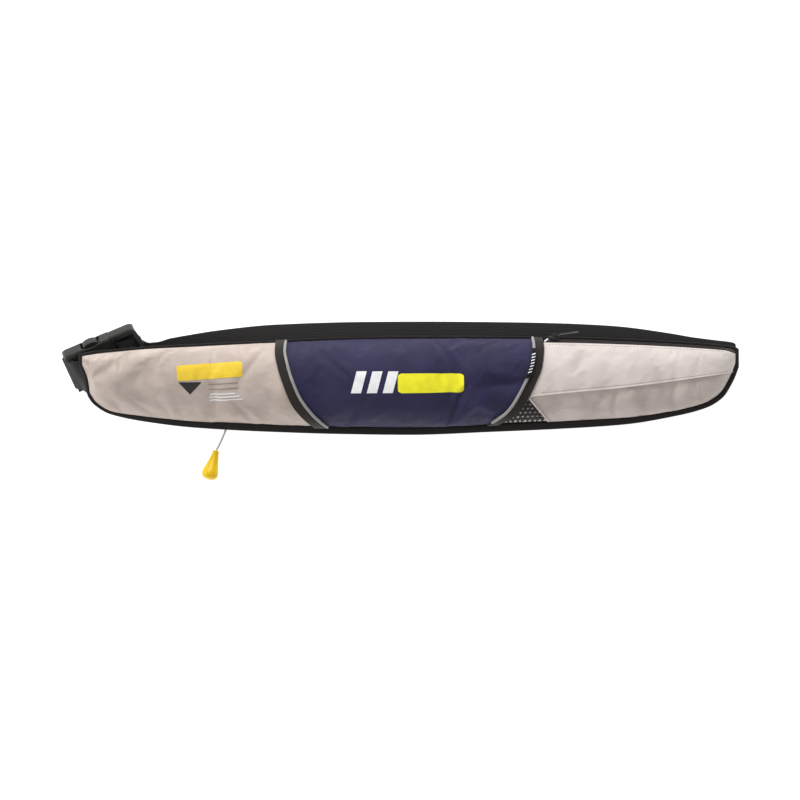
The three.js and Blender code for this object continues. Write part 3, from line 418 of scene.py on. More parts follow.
def setPoints(piece, points):
    piece.data.vertices.foreach_set("co", np.asarray(points, np.float32).ravel())
    piece.data.update()


# The grid's own map takes true lengths over the cloth, in metres
def setUvs(piece, uvs):
    mesh = piece.data
    layer = mesh.uv_layers[0] if mesh.uv_layers else mesh.uv_layers.new()
    layer.name = "cloth"
    loops = np.empty(len(mesh.loops), int)
    mesh.loops.foreach_get("vertex_index", loops)
    layer.data.foreach_set("uv", np.asarray(uvs, np.float32)[loops].ravel())


# A flat grid, and each point's share along it and across it
def flatGrid(name, columns, rows):
    deselectAll()
    bpy.ops.mesh.primitive_grid_add(x_subdivisions=columns, y_subdivisions=rows, size=1)
    piece = nameActive(name)
    shares = readPoints(piece) + 0.5
    return piece, shares[:, 0], shares[:, 1]


# A grid laid over a table of points, in millimetres; us and vs are its lengths both ways
def tablePiece(name, table, us, vs):
    count, size = table.shape[:2]
    piece, across, along = flatGrid(name, size - 1, count - 1)
    k = np.rint(along * (count - 1)).astype(int)
    s = np.rint(across * (size - 1)).astype(int)
    setPoints(piece, toRow(table[k, s]))
    setUvs(piece, np.stack([us[k], vs[s]], -1) * mm)
    return piece


def weld(piece):
    makeActive(piece)
    bpy.ops.object.mode_set(mode="EDIT")
    bpy.ops.mesh.select_all(action="SELECT")
    bpy.ops.mesh.remove_doubles(threshold=0.000002)
    bpy.ops.mesh.fill_holes(sides=0)
    bpy.ops.mesh.select_all(action="SELECT")
    bpy.ops.mesh.normals_make_consistent(inside=False)
    bpy.ops.object.mode_set(mode="OBJECT")


def lengths(points):
    steps = np.linalg.norm(np.diff(points, axis=0), axis=1)
    return np.concatenate([[0], np.cumsum(steps)])


def unit(v):
    return v / np.linalg.norm(v, axis=-1, keepdims=True)


def thicken(piece, wall, offset=-1):
    solid = piece.modifiers.new("wall", "SOLIDIFY")
    solid.thickness = wall * mm
    solid.offset = offset
    applyModifiers(piece)


# A rod along X: a circle extruded and resized through its stations of place, lift and radius
def rodModel(name, stations, sides=6):
    deselectAll()
    place, lift, radius = stations[0]
    bpy.ops.mesh.primitive_circle_add(
        vertices=sides, radius=radius * mm, fill_type="NGON", rotation=(0, math.pi / 2, 0)
    )
    rod = nameActive(name)
    bpy.ops.object.transform_apply(location=False, rotation=True, scale=False)
    bpy.ops.object.mode_set(mode="EDIT")
    bpy.ops.mesh.select_all(action="SELECT")
    bpy.ops.transform.translate(value=(place * mm, 0, lift * mm))
    for (x0, z0, r0), (x1, z1, r1) in zip(stations, stations[1:]):
        step = ((x1 - x0) * mm, 0, (z1 - z0) * mm)
        bpy.ops.mesh.extrude_region_move(TRANSFORM_OT_translate={"value": step})
        bpy.ops.transform.resize(value=(1, r1 / r0, r1 / r0), center_override=(x1 * mm, 0, z1 * mm))
    bpy.ops.mesh.select_all(action="SELECT")
    bpy.ops.mesh.normals_make_consistent(inside=False)
    bpy.ops.object.mode_set(mode="OBJECT")
    return rod


# Copies of a small model, each with its own mesh, joined into one piece
def copyAlong(model, name, spots):
    base = readPoints(model)
    copies = []
    for place, forward, out in spots:
        axes = np.stack([forward, np.cross(out, forward), out], 1)
        copy = bpy.data.objects.new(name, model.data.copy())
        scene.collection.objects.link(copy)
        setPoints(copy, base @ axes.T + toRow(place))
        copies.append(copy)
    bpy.data.objects.remove(model)
    deselectAll()
    for copy in copies:
        copy.select_set(True)
    bpy.context.view_layer.objects.active = copies[0]
    bpy.ops.object.join()
    smoothPiece(bpy.context.object, 60)
    return nameActive(name)


def spotsAlong(places, normals, pitch, start, end):
    along = lengths(places)
    spots = []
    for d in np.arange(start, along[-1] - end, pitch):
        p, q, out = [
            np.array([np.interp(at, along, table[:, a]) for a in range(3)])
            for at, table in ((d, places), (d + 0.3, places), (d, normals))
        ]
        out = unit(out)
        forward = unit(q - p - out * np.dot(q - p, out))
        spots.append((p, forward, out))
    return spots


# Materials
def linear(*rgb):
    def one(value):
        value /= 255
        return value / 12.92 if value <= 0.04045 else ((value + 0.055) / 1.055) ** 2.4

    return tuple(one(v) for v in rgb) + (1,)


def newMaterial(name, colour, roughness, metallic=0.0, specular=0.4):
    material = bpy.data.materials.new(name)
    material.use_nodes = True
    shader = material.node_tree.nodes["Principled BSDF"]
    shader.inputs["Base Color"].default_value = colour
    shader.inputs["Roughness"].default_value = roughness
    shader.inputs["Metallic"].default_value = metallic
    shader.inputs["Specular IOR Level"].default_value = specular
    return material


class Graph:
    def __init__(self, material):
        self.nodes = material.node_tree.nodes
        self.links = material.node_tree.links
        self.shader = self.nodes["Principled BSDF"]

    def node(self, kind, **settings):
        made = self.nodes.new(kind)
        for key, value in settings.items():
            setattr(made, key, value)
        return made

    def link(self, a, b):
        self.links.new(a, b)

    def uv(self, scale, turn=0.0):
        source = self.node("ShaderNodeUVMap", uv_map="cloth")
        mapping = self.node("ShaderNodeMapping")
        mapping.inputs["Scale"].default_value = (scale, scale, scale)
        mapping.inputs["Rotation"].default_value = (0, 0, math.radians(turn))
        self.link(source.outputs["UV"], mapping.inputs["Vector"])
        return mapping.outputs["Vector"]

    def objectSpace(self, scale):
        source = self.node("ShaderNodeTexCoord")
        mapping = self.node("ShaderNodeMapping")
        mapping.inputs["Scale"].default_value = (scale, scale, scale)
        self.link(source.outputs["Object"], mapping.inputs["Vector"])
        return mapping.outputs["Vector"]

    def wave(self, vector, scale, direction, distortion=0.0, profile="SIN"):
        made = self.node("ShaderNodeTexWave", bands_direction=direction, wave_profile=profile)
        made.inputs["Scale"].default_value = scale
        made.inputs["Distortion"].default_value = distortion
        self.link(vector, made.inputs["Vector"])
        return made.outputs["Fac"]

    def noise(self, vector, scale, detail, roughness):
        made = self.node("ShaderNodeTexNoise")
        made.inputs["Scale"].default_value = scale
        made.inputs["Detail"].default_value = detail
        made.inputs["Roughness"].default_value = roughness
        self.link(vector, made.inputs["Vector"])
        return made.outputs["Fac"]

    def math(self, operation, a, b):
        made = self.node("ShaderNodeMath", operation=operation)
        for socket, value in zip(made.inputs, (a, b)):
            if isinstance(value, (int, float)):
                socket.default_value = value
            else:
                self.link(value, socket)
        return made.outputs["Value"]

    def ramp(self, fac, stops):
        made = self.node("ShaderNodeValToRGB")
        elements = made.color_ramp.elements
        while len(elements) > 1:
            elements.remove(elements[-1])
        elements[0].position, elements[0].color = stops[0]
        for position, colour in stops[1:]:
            elements.new(position).color = colour
        self.link(fac, made.inputs["Fac"])
        return made.outputs["Color"]

    def range(self, fac, low, high):
        made = self.node("ShaderNodeMapRange")
        made.inputs["To Min"].default_value = low
        made.inputs["To Max"].default_value = high
        self.link(fac, made.inputs["Value"])
        return made.outputs["Result"]

    def bump(self, height, distance, strength, under=None):
        made = self.node("ShaderNodeBump")
        made.inputs["Distance"].default_value = distance
        made.inputs["Strength"].default_value = strength
        self.link(height, made.inputs["Height"])
        if under is not None:
            self.link(under, made.inputs["Normal"])
        return made.outputs["Normal"]


# Woven cloth: threads both ways, a coarser ripstop grid, slow creasing and a slightly uneven dye
def clothMaterial(name, colour, dark, weave=0.9, ripstop=0.0, creases=0.35, roughness=0.8, sheen=0.15):
    material = newMaterial(name, colour, roughness, specular=0.25)
    g = Graph(material)
    flat = g.uv(1000)
    warp = g.wave(flat, 0.5 / weave, "X")
    weft = g.wave(flat, 0.5 / weave, "Y")
    threads = g.math("MULTIPLY", warp, weft)
    blotch = g.noise(g.uv(1000), 0.03, 4, 0.6)
    shade = g.math("ADD", g.math("MULTIPLY", threads, 0.18), g.math("MULTIPLY", blotch, 0.95))
    normal = g.bump(threads, 0.00012, 0.7)
    if ripstop:
        turned = g.uv(1000, 45)
        lineA = g.wave(turned, 0.5 / ripstop, "X", profile="TRI")
        lineB = g.wave(turned, 0.5 / ripstop, "Y", profile="TRI")
        ridge = g.math("POWER", g.math("MAXIMUM", lineA, lineB), 7)
        normal = g.bump(ridge, 0.0002, 0.7, normal)
        shade = g.math("SUBTRACT", shade, g.math("MULTIPLY", ridge, 0.16))
    g.link(g.ramp(shade, [(0.25, dark), (0.72, colour)]), g.shader.inputs["Base Color"])
    crumple = g.noise(g.uv(1000), 0.14, 5, 0.55)
    normal = g.bump(crumple, 0.001 * creases, 1.0, normal)
    g.link(normal, g.shader.inputs["Normal"])
    g.link(g.range(blotch, roughness - 0.06, roughness + 0.08), g.shader.inputs["Roughness"])
    g.shader.inputs["Sheen Weight"].default_value = sheen
    g.shader.inputs["Sheen Roughness"].default_value = 0.5
    return material


# Ribbed tape or webbing: ribs run along the piece, the weft crosses them
def webbingMaterial(name, colour, dark, rib, pick, depth, alongRibs=True):
    material = newMaterial(name, colour, 0.8, specular=0.25)
    g = Graph(material)
    flat = g.uv(1000)
    ribs = g.wave(flat, 0.5 / rib, "Y" if alongRibs else "X")
    picks = g.wave(flat, 0.5 / pick, "X" if alongRibs else "Y", 1.5)
    weave = g.math("ADD", g.math("MULTIPLY", ribs, 0.65), g.math("MULTIPLY", picks, 0.35))
    fuzz = g.noise(flat, 0.9, 4, 0.6)
    shade = g.math("ADD", g.math("MULTIPLY", weave, 0.75), g.math("MULTIPLY", fuzz, 0.4))
    g.link(g.ramp(shade, [(0.15, dark), (0.95, colour)]), g.shader.inputs["Base Color"])
    normal = g.bump(weave, depth, 0.9)
    normal = g.bump(fuzz, 0.0002, 0.5, normal)
    g.link(normal, g.shader.inputs["Normal"])
    g.shader.inputs["Sheen Weight"].default_value = 0.2
    g.shader.inputs["Sheen Roughness"].default_value = 0.4
    return material


# Moulded, printed or painted surface with a fine grain
def mouldedMaterial(name, colour, roughness, grain=0.00003, metallic=0.0):
    material = newMaterial(name, colour, roughness, metallic)
    g = Graph(material)
    fine = g.noise(g.objectSpace(1000), 1.6, 3, 0.6)
    broad = g.noise(g.objectSpace(1000), 0.12, 3, 0.5)
    g.link(g.bump(fine, grain * 4, 0.6), g.shader.inputs["Normal"])
    g.link(g.range(broad, roughness - 0.1, roughness + 0.12), g.shader.inputs["Roughness"])
    darker = tuple(c * 0.86 for c in colour[:3]) + (1,)
    g.link(g.ramp(broad, [(0.3, darker), (0.7, colour)]), g.shader.inputs["Base Color"])
    return material


finishes = {
    # The left panel's beige is the pouch's one beige cloth made darker and warmer: the darkening is painted
    # shade
    "beigeLeftShaded": clothMaterial(
        "beigeClothLeftShaded", linear(218, 203, 193), linear(190, 173, 163), ripstop=2.6, creases=0.5
    ),
    "beigeRight": clothMaterial(
        "beigeClothRight", linear(233, 223, 218), linear(218, 207, 201), ripstop=2.6, creases=0.25
    ),
    # The lower pocket panel's beige is the flap's cloth made darker: painted shade for the pouch's lower
    # half, which faces away from the light
    "beigeLowShaded": clothMaterial(
        "beigeClothLowShaded", linear(218, 205, 198), linear(192, 178, 171), ripstop=2.6, creases=0.5
    ),
    "lining": clothMaterial("liningCloth", linear(224, 214, 208), linear(204, 194, 188)),
    "navy": clothMaterial(
        "navyCloth", linear(48, 45, 82), linear(36, 33, 62),
        weave=0.6, creases=0.3, roughness=0.62, sheen=0.05,
    ),
    "back": clothMaterial("backCloth", linear(46, 44, 43), linear(34, 32, 31), weave=1.4),
    "binding": webbingMaterial(
        "bindingTape", linear(50, 46, 45), linear(26, 24, 23),
        rib=1.2, pick=3, depth=0.0002, alongRibs=False,
    ),
    "strip": webbingMaterial(
        "stripTape", linear(52, 46, 44), linear(30, 27, 25),
        rib=1.3, pick=3, depth=0.0002, alongRibs=False,
    ),
    "webbing": webbingMaterial(
        "beltWebbing", linear(58, 56, 55), linear(30, 29, 29), rib=2.6, pick=1.2, depth=0.0004
    ),
    "zipTape": webbingMaterial(
        "zipTape", linear(72, 62, 64), linear(44, 37, 38), rib=1, pick=1.6, depth=0.0001
    ),
    "label": webbingMaterial(
        "labelTape", linear(30, 29, 30), linear(18, 17, 18), rib=0.7, pick=0.7, depth=0.0001
    ),
    "piping": mouldedMaterial("reflectiveTrim", linear(160, 157, 154), 0.38),
    "net": mouldedMaterial("netCord", linear(36, 32, 31), 0.8),
    "yellowLeft": mouldedMaterial("yellowPrintLeft", linear(255, 218, 62), 0.5),
    "yellowCentre": mouldedMaterial("yellowPrintCentre", linear(255, 248, 40), 0.5),
    "white": mouldedMaterial("whitePrint", linear(252, 251, 252), 0.5),
    "darkPrint": mouldedMaterial("darkPrint", linear(48, 44, 43), 0.5),
    "greyPrint": mouldedMaterial("greyPrint", linear(150, 138, 130), 0.5),
    "buckle": mouldedMaterial("buckleNylon", linear(46, 46, 44), 0.42, 0.00004),
    "zipMetal": mouldedMaterial("zipMetal", linear(40, 38, 38), 0.5, metallic=0.25),
    "threadDark": mouldedMaterial("threadDark", linear(46, 43, 42), 0.7),
    "threadPale": mouldedMaterial("threadPale", linear(164, 142, 136), 0.7),
    "cord": webbingMaterial(
        "cordBraid", linear(244, 244, 243), linear(190, 190, 190), rib=0.8, pick=0.8, depth=0.0002
    ),
    "handle": mouldedMaterial("handleYellow", linear(255, 210, 10), 0.3),
}
print("materials ready")


# Cover panels
# Shares of a side, closer together at its two ends
def crowded(share):
    return (1 - np.cos(np.pi * share)) / 2


# Where a panel's grid lies on the pouch, between four sides that depend on one another
def panelShares(i, j, left, right, low, high, crowd, spread):
    across = crowded(j) if crowd else j
    ahead = spread(i) if spread else i
    half = np.full_like(i, 0.5)
    u = mix(left(half), right(half), ahead)
    t = across
    for _ in range(14):
        t = mix(low(u), high(u), across)
        u = mix(left(t), right(t), ahead)
    return u, t


# How far each point is from one side of its panel, in millimetres
def awayFrom(side, points):
    tree = KDTree(int(side.sum()))
    for k in np.flatnonzero(side):
        tree.insert(points[k], int(k))
    tree.balance()
    return np.array([tree.find(p)[2] for p in points])


# Loose cloth between its seams: let out by its growth, blown up by pressure, moved by most at most
slack = {"pressure": 3.0, "most": 2.6, "frames": 18}
covers = []


def buckleCloth(piece, held, growth):
    start = readPoints(piece)
    group = piece.vertex_groups.new(name="sewn")
    for k in np.flatnonzero(held > 0):
        group.add([int(k)], float(held[k]), "REPLACE")
    makeActive(piece)
    bpy.ops.object.modifier_add(type="CLOTH")
    cloth = piece.modifiers[-1]
    settings = cloth.settings
    settings.quality = 5
    settings.mass = 0.2
    settings.bending_stiffness = 0.5
    settings.vertex_group_mass = "sewn"
    settings.shrink_min = -growth
    settings.use_pressure = True
    settings.uniform_pressure_force = slack["pressure"]
    settings.effector_weights.gravity = 0
    cloth.point_cache.frame_start = 1
    cloth.point_cache.frame_end = slack["frames"]
    for now in range(1, slack["frames"] + 1):
        scene.frame_set(now)
    bpy.ops.object.modifier_apply(modifier=cloth.name)
    scene.frame_set(1)
    moved = (readPoints(piece) - start) / mm
    size = np.linalg.norm(moved, axis=1, keepdims=True)
    most = slack["most"]
    moved *= most * np.tanh(size / most) / np.maximum(size, 1e-9)
    print(piece.name, "cloth moved", round(float(size.mean()), 2), round(float(size.max()), 2))
    setPoints(piece, start + moved * mm)
    piece.vertex_groups.clear()
    finer = piece.modifiers.new("finer", "SUBSURF")
    finer.levels = finer.render_levels = 1
    finer.boundary_smooth = "PRESERVE_CORNERS"
    applyModifiers(piece)


def coverPanel(name, columns, rows, left, right, low, high, depth, wall, material, nodes,
               crowd=False, spread=None, held=None, growth=0.017):
    piece, i, j = flatGrid(name, columns, rows)
    u, t = panelShares(i, j, left, right, low, high, crowd, spread)
    if depth < 0:
        points = raised(u, t, -depth)
    elif held:
        # an under panel keeps its outline and lies lower
        points = skinPoint(u, t, 0)
        points[:, 2] = np.maximum(coverFoot(points[:, 0], points[:, 1]), points[:, 2] - depth)
    else:
        points = skinPoint(u, t, depth)
    sides = {"left": i < 1e-4, "right": i > 1 - 1e-4, "low": j < 1e-4, "high": j > 1 - 1e-4}
    # length over the section, from the middle of the cover, for the weave
    grid = np.linspace(0, 1, 241)
    section = skinPoint(np.zeros(241), grid, 0, False)
    over = np.interp(t, grid, lengths(section[:, 1:]))
    setPoints(piece, toRow(points))
    setUvs(piece, np.stack([points[:, 0] * mm, over * mm], -1))
    if held:
        share = np.zeros(len(points))
        for side, reach in held.items():
            away = awayFrom(sides[side], points)
            share = np.maximum(share, 1 - smoothStep(away, reach, 2.2 * reach))
        buckleCloth(piece, share, growth)
    thicken(piece, wall)
    smoothPiece(piece, 60)
    if held:
        covers.append(piece)
    return finishPiece(piece, "pack", finishes[material], nodes)


def zero(u):
    return np.zeros_like(u)


def one(u):
    return np.ones_like(u)


# The left panel wears the darker beige copy, with painted shade in its colour
coverPanel(
    "leftPanel", 120, 54, lambda t: -one(t), lambda t: leftSeam(t) - gapShare, zero, one,
    0, pouch["wall"], "beigeLeftShaded", ["left_panel"], True, lambda s: 1 - np.cos(s * np.pi / 2),
    held={"left": 3, "right": 8, "low": 2.5, "high": 3},
)
coverPanel(
    "centrePanel", 124, 54, lambda t: leftSeam(t) + gapShare, lambda t: rightSeam(t) - gapShare, zero, one,
    0, pouch["wall"], "navy", ["centre_panel"], True,
    held={"left": 10, "right": 10, "low": 2.5, "high": 3},
)


def towardsEnd(s):
    return np.sin(s * np.pi / 2)


zipShare = 0.04
zipFoot = 1 - zipShare


def seamGap(u):
    return 2 * pouch["gap"] / (upperEdge(u, 0) - lowerEdge(u, 0))


# The flap reaches up to the zip, and its far corner is rounded
def flapTop(u):
    return zipFoot + 0.01 - 2 * seamGap(u) - 0.16 * smoothStep(u, 0.955, 1.02) ** 1.5


coverPanel(
    "pocketFlap", 110, 40, lambda t: rightSeam(t) + gapShare, one, seamShare, flapTop,
    0, pouch["wall"], "beigeRight", ["right_panel_upper"], False, towardsEnd,
    held={"left": 7, "right": 3, "low": 2, "high": 2}, growth=0.006,
)
lapShare = pouch["lap"] / height
# The lower pocket panel wears the darker beige copy, with painted shade in its colour
coverPanel(
    "lowerPocketPanel", 110, 34, lambda t: np.maximum(rightSeam(t), gussetEdge(t)) + gapShare, one, zero,
    lambda u: np.minimum(0.8, seamShare(u) + lapShare), pouch["wall"] + 2 * pouch["gap"], pouch["wall"],
    "beigeLowShaded", ["right_panel_lower"], False, towardsEnd,
    held={"left": 3, "right": 3, "low": 2.5, "high": 5}, growth=0.02,
)
netTop = 0.3
netWall = 0.9
coverPanel(
    "gussetLining", 30, 30, lambda t: rightSeam(t) + 3 * gapShare, lambda t: gussetEdge(t) - gapShare, zero,
    lambda u: netTop * one(u), netWall + pouch["gap"], pouch["wall"], "lining",
    ["gusset_lining"],
)
print("cover panels ready")


# Strips, piping, label
def stripPiece(name, inner, outer, node):
    coverPanel(
        name, 10, 110, inner, outer, lambda u: 0.002 * one(u), lambda u: 0.998 * one(u),
        -pouch["trimGap"] - 1.2, 1.2, "strip", [node], True,
    )


stripPiece("leftStrip", leftInner, leftOuter, "left_strip")
stripPiece("rightStrip", rightInner, rightOuter, "right_strip")


def tubePiece(name, centres, radius, sides):
    centres = np.asarray(centres, float)
    tangents = unit(np.gradient(centres, axis=0))
    side = unit(np.cross(tangents[0], [0, 0, 1.0]))
    radii = np.broadcast_to(np.asarray(radius, float), (len(centres),))
    angles = np.linspace(0, 2 * np.pi, sides + 1)
    table = []
    for place, tangent, size in zip(centres, tangents, radii):
        side = unit(side - tangent * np.dot(side, tangent))
        other = np.cross(tangent, side)
        ring = np.outer(np.cos(angles), side) + np.outer(np.sin(angles), other)
        table.append(place + size * ring)
    piece = tablePiece(name, np.array(table), lengths(centres), angles * radii.max())
    weld(piece)
    smoothPiece(piece, 50)
    return piece


piping = {"radius": 1.7, "left": 0.06, "right": 0.13, "to": 0.94}
pipingShift = piping["radius"] + pouch["gap"]
leftPipingLine = edgeBeside(leftInner, pipingShift)
rightPipingLine = edgeBeside(rightInner, -pipingShift)


def pipingPiece(name, line, start, node):
    t = crowded(np.linspace(start, piping["to"], 90))
    centres = raised(line(t), t, pouch["trimGap"] + piping["radius"], False)
    ends = np.clip(np.minimum(np.arange(90), 89 - np.arange(90)) / 2.0, 0, 1)
    radius = piping["radius"] * np.sqrt(1 - (1 - ends) ** 2 * 0.75)
    piece = tubePiece(name, centres, radius, 16)
    return finishPiece(piece, "pack", finishes["piping"], [node])


pipingPiece("leftPiping", leftPipingLine, piping["left"], "left_piping")
pipingPiece("rightPiping", rightPipingLine, piping["right"], "right_piping")

label = {
    "length": 30,
    "width": 6.5,
    "thickness": 0.6,
    "middle": 0.693,
    "fold": 1.6,
    "marks": 7,
    "markPitch": 3,
    "markWidth": 3.8,
    "markHeight": 1.1,
    "markLean": 1.1,
}


def labelPiece():
    over = 2 * pouch["trimGap"] + 2 * piping["radius"]
    half = label["width"] / 2 / halfLength
    reach = label["length"] / 2 / coverHeight
    piece, i, j = flatGrid("sideLabel", 14, 40)
    t = label["middle"] - reach + 2 * reach * j
    u = rightPipingLine(t) - half + 2 * half * i
    drop = label["fold"] * np.abs(i * 2 - 1) ** 2.5  # the folded tape hugs the piping
    points = skinPoint(u, t, 0, False) + normalAt(u, t, False) * (over + label["thickness"] - drop)[:, None]
    setPoints(piece, toRow(points))
    setUvs(piece, np.stack([i * label["width"] * mm, j * label["length"] * mm], -1))
    thicken(piece, label["thickness"])
    smoothPiece(piece, 60)
    finishPiece(piece, "pack", finishes["label"], ["side_label"])


labelPiece()


# Plain pale dashes across the label
def labelMark(name, middle):
    piece, i, j = flatGrid(name, 6, 6)
    half = label["markWidth"] / 2 / halfLength
    climb = middle + (j - 0.5) * label["markHeight"] + (i - 0.5) * label["markLean"]
    t = label["middle"] + climb / coverHeight
    u = rightPipingLine(t) + half * (i * 2 - 1)
    over = 2 * pouch["trimGap"] + 2 * piping["radius"] + label["thickness"] + 0.12
    drop = label["fold"] * np.abs((i * 2 - 1) * 0.55) ** 2.5
    points = skinPoint(u, t, 0, False) + normalAt(u, t, False) * (over - drop)[:, None]
    setPoints(piece, toRow(points))
    setUvs(piece, np.stack([i, j], -1) * mm)
    thicken(piece, 0.2)
    finishPiece(piece, "pack", finishes["white"])


for k in range(label["marks"]):
    labelMark(f"labelMark{k}", label["markPitch"] * (k - (label["marks"] - 1) / 2))


# Where points meet the finished cover, looking in along its normals, lifted by above
def landed(u, t, above):
    normals = normalAt(u, t, False)
    places = []
    for p, n in zip(toRow(skinPoint(u, t, 0, False)), normals):
        start = Vector(p + n * 12 * mm)
        hits = [panel.ray_cast(start, Vector(-n), distance=0.03) for panel in covers]
        found = [hit[1] for hit in hits if hit[0]]
        places.append(min(found, key=lambda place: (place - start).length) if found else Vector(p))
    return (np.array(places) - shift) / mm + normals * above, normals


# Prints: bare patches and plain shapes
def printPiece(name, shape, material, nodes=(), columns=48, rows=16, above=0.35):
    # shape gives each point's place in the pouch's front view, in millimetres
    piece, i, j = flatGrid(name, columns, rows)
    x, y = shape(i, j)
    u, t = coverShares(x, y)
    setPoints(piece, toRow(landed(u, t, above)[0]))
    setUvs(piece, np.stack([x, y], -1) * mm)
    thicken(piece, pouch["printWall"])
    smoothPiece(piece, 60)
    return finishPiece(piece, "pack", finishes[material], nodes)


def bar(along, high, length, width, tilt, corner=0.0, slant=0.0):
    def at(i, j):
        dx, dy = (i - 0.5) * length, (j - 0.5) * width
        if corner:
            over = np.clip((np.abs(dy) - (width / 2 - corner)) / corner, 0, 1)
            dx = dx * (1 - corner * (1 - np.sqrt(1 - over**2)) * 2 / length)
        dx = dx + slant * dy
        c, s = math.cos(math.radians(tilt)), math.sin(math.radians(tilt))
        return along * halfLength + dx * c - dy * s, high * height + dx * s + dy * c

    return at


# A plain triangle pointing down
def triangle(along, high, half, rise):
    def at(i, j):
        side = i * 2 - 1
        foot = 0.2 + (rise - 0.2) * (1 - np.abs(side))
        return along * halfLength + half * side, high * height - foot * (1 - j)

    return at


printPiece("leftPatch", bar(-0.605, 0.156, 71, 16.5, 3.8, 2), "yellowLeft", ["left_patch"])
printPiece("centrePatch", bar(0.064, 0.034, 72, 21, 0.5, 4), "yellowCentre", ["centre_patch"])
for k, along in enumerate((-0.154, -0.106, -0.058)):
    printPiece(f"centreBar{k}", bar(along, 0.043, 11, 23, 0.5, 0, 0.28), "white", columns=10, rows=18)
printPiece("leftArrow", triangle(-0.664, 0.045, 12.5, 13), "darkPrint", columns=24, rows=8)
lines = [
    (-0.563, 0.029, 32, 0.8, "greyPrint"),
    (-0.563, -0.024, 32, 0.8, "greyPrint"),
    (-0.566, -0.075, 27, 1.5, "white"),
    (-0.56, -0.105, 33, 1.4, "white"),
    (-0.555, -0.135, 36, 1.3, "white"),
]
for k, (along, high, length, width, colour) in enumerate(lines):
    printPiece(f"leftLine{k}", bar(along, high, length, width, 3.8), colour, columns=30, rows=3)
printPiece("zipCorner", bar(0.4143, 0.4745, 5.6, 1.3, 40, 0.5), "white", columns=6, rows=6, above=0.6)
print("prints ready")


# Net gusset
net = {"pitch": 5.3, "hole": 1.5, "wall": 0.5, "uneven": 0.45}


def netPiece():
    # one six-sided cell with a round hole, copied over the corner and welded at its edges
    pitch, hole = net["pitch"], net["hole"]
    deselectAll()
    bpy.ops.mesh.primitive_circle_add(vertices=6, radius=pitch / math.sqrt(3), fill_type="NGON")
    cell = nameActive("netCell")
    bpy.ops.object.mode_set(mode="EDIT")
    bpy.ops.mesh.select_all(action="SELECT")
    bpy.ops.mesh.subdivide(number_cuts=1)
    bpy.ops.mesh.inset(thickness=pitch / 2 - hole)
    bpy.ops.mesh.delete(type="FACE")
    bpy.ops.object.mode_set(mode="OBJECT")
    points = readPoints(cell)
    reach = np.linalg.norm(points, axis=1, keepdims=True)
    inner = reach[:, 0] < pitch * 0.49
    points[inner] *= hole / reach[inner]
    setPoints(cell, points)
    rowStep = pitch * math.sqrt(3) / 2
    copies = []
    for row in range(int(netTop * coverHeight / rowStep) + 2):
        for column in range(16):
            copy = bpy.data.objects.new("netCell", cell.data.copy())
            scene.collection.objects.link(copy)
            setPoints(copy, points + [column * pitch + (row % 2) * pitch / 2 - 8, row * rowStep - 3, 0])
            copies.append(copy)
    bpy.data.objects.remove(cell)
    deselectAll()
    for copy in copies:
        copy.select_set(True)
    bpy.context.view_layer.objects.active = copies[0]
    bpy.ops.object.join()
    piece = nameActive("netGusset")
    # flat place: x from the gusset's left foot, y up from its lower hem
    flat = readPoints(piece)
    x, y = flat[:, 0].copy(), flat[:, 1].copy()
    flat[:, 0] += net["uneven"] * np.sin(1.3 * y + 0.7 * x)
    flat[:, 1] += net["uneven"] * np.sin(1.1 * x - 0.8 * y + 1)
    t = flat[:, 1] / coverHeight
    u = 0.236 + flat[:, 0] / halfLength
    inside = (t >= 0.004) & (t <= netTop)
    inside &= (u > rightSeam(t) + 3 * gapShare) & (u < gussetEdge(t) - gapShare)
    piece.data.vertices.foreach_set("select", ~inside)
    bpy.ops.object.mode_set(mode="EDIT")
    bpy.ops.mesh.delete(type="VERT")
    bpy.ops.object.mode_set(mode="OBJECT")
    setPoints(piece, toRow(skinPoint(u[inside], t[inside], 0.1)))
    makeActive(piece)
    bpy.ops.object.mode_set(mode="EDIT")
    bpy.ops.mesh.select_all(action="SELECT")
    bpy.ops.mesh.remove_doubles(threshold=0.00005)
    bpy.ops.mesh.normals_make_consistent(inside=False)
    bpy.ops.object.mode_set(mode="OBJECT")
    thicken(piece, net["wall"])
    smoothPiece(piece, 50)
    finishPiece(piece, "pack", finishes["net"], ["mesh_gusset"])


netPiece()

# The folded edges of the pocket: along its flap's hem, and down the gusset
fold = np.linspace(0.365, 0.99, 120)
hemLine = raised(np.maximum(fold, rightSeam(seamShare(fold)) + 2 * gapShare), seamShare(fold) + 0.004, 0.1)
finishPiece(tubePiece("flapFold", hemLine, 0.75, 10), "pack", finishes["beigeRight"])
fold = np.linspace(0.01, gussetCorner + 0.01, 40)
edgeLine = raised(gussetEdge(fold), fold, 0.25)
finishPiece(tubePiece("gussetFold", edgeLine, 0.85, 10), "pack", finishes["beigeRight"])
print("net ready")


# Edge binding and back
def ringStations(inset):
    shares = np.sin(np.linspace(-1, 1, 240) * np.pi / 2)
    x = shares * (halfLength - inset["end"])
    lower = lowerEdge(shares, inset["bottom"](shares))
    upper = upperEdge(shares, inset["top"])
    xs = np.concatenate([x, x[::-1]])
    ys = np.concatenate([lower, upper[::-1]])
    return xs, ys


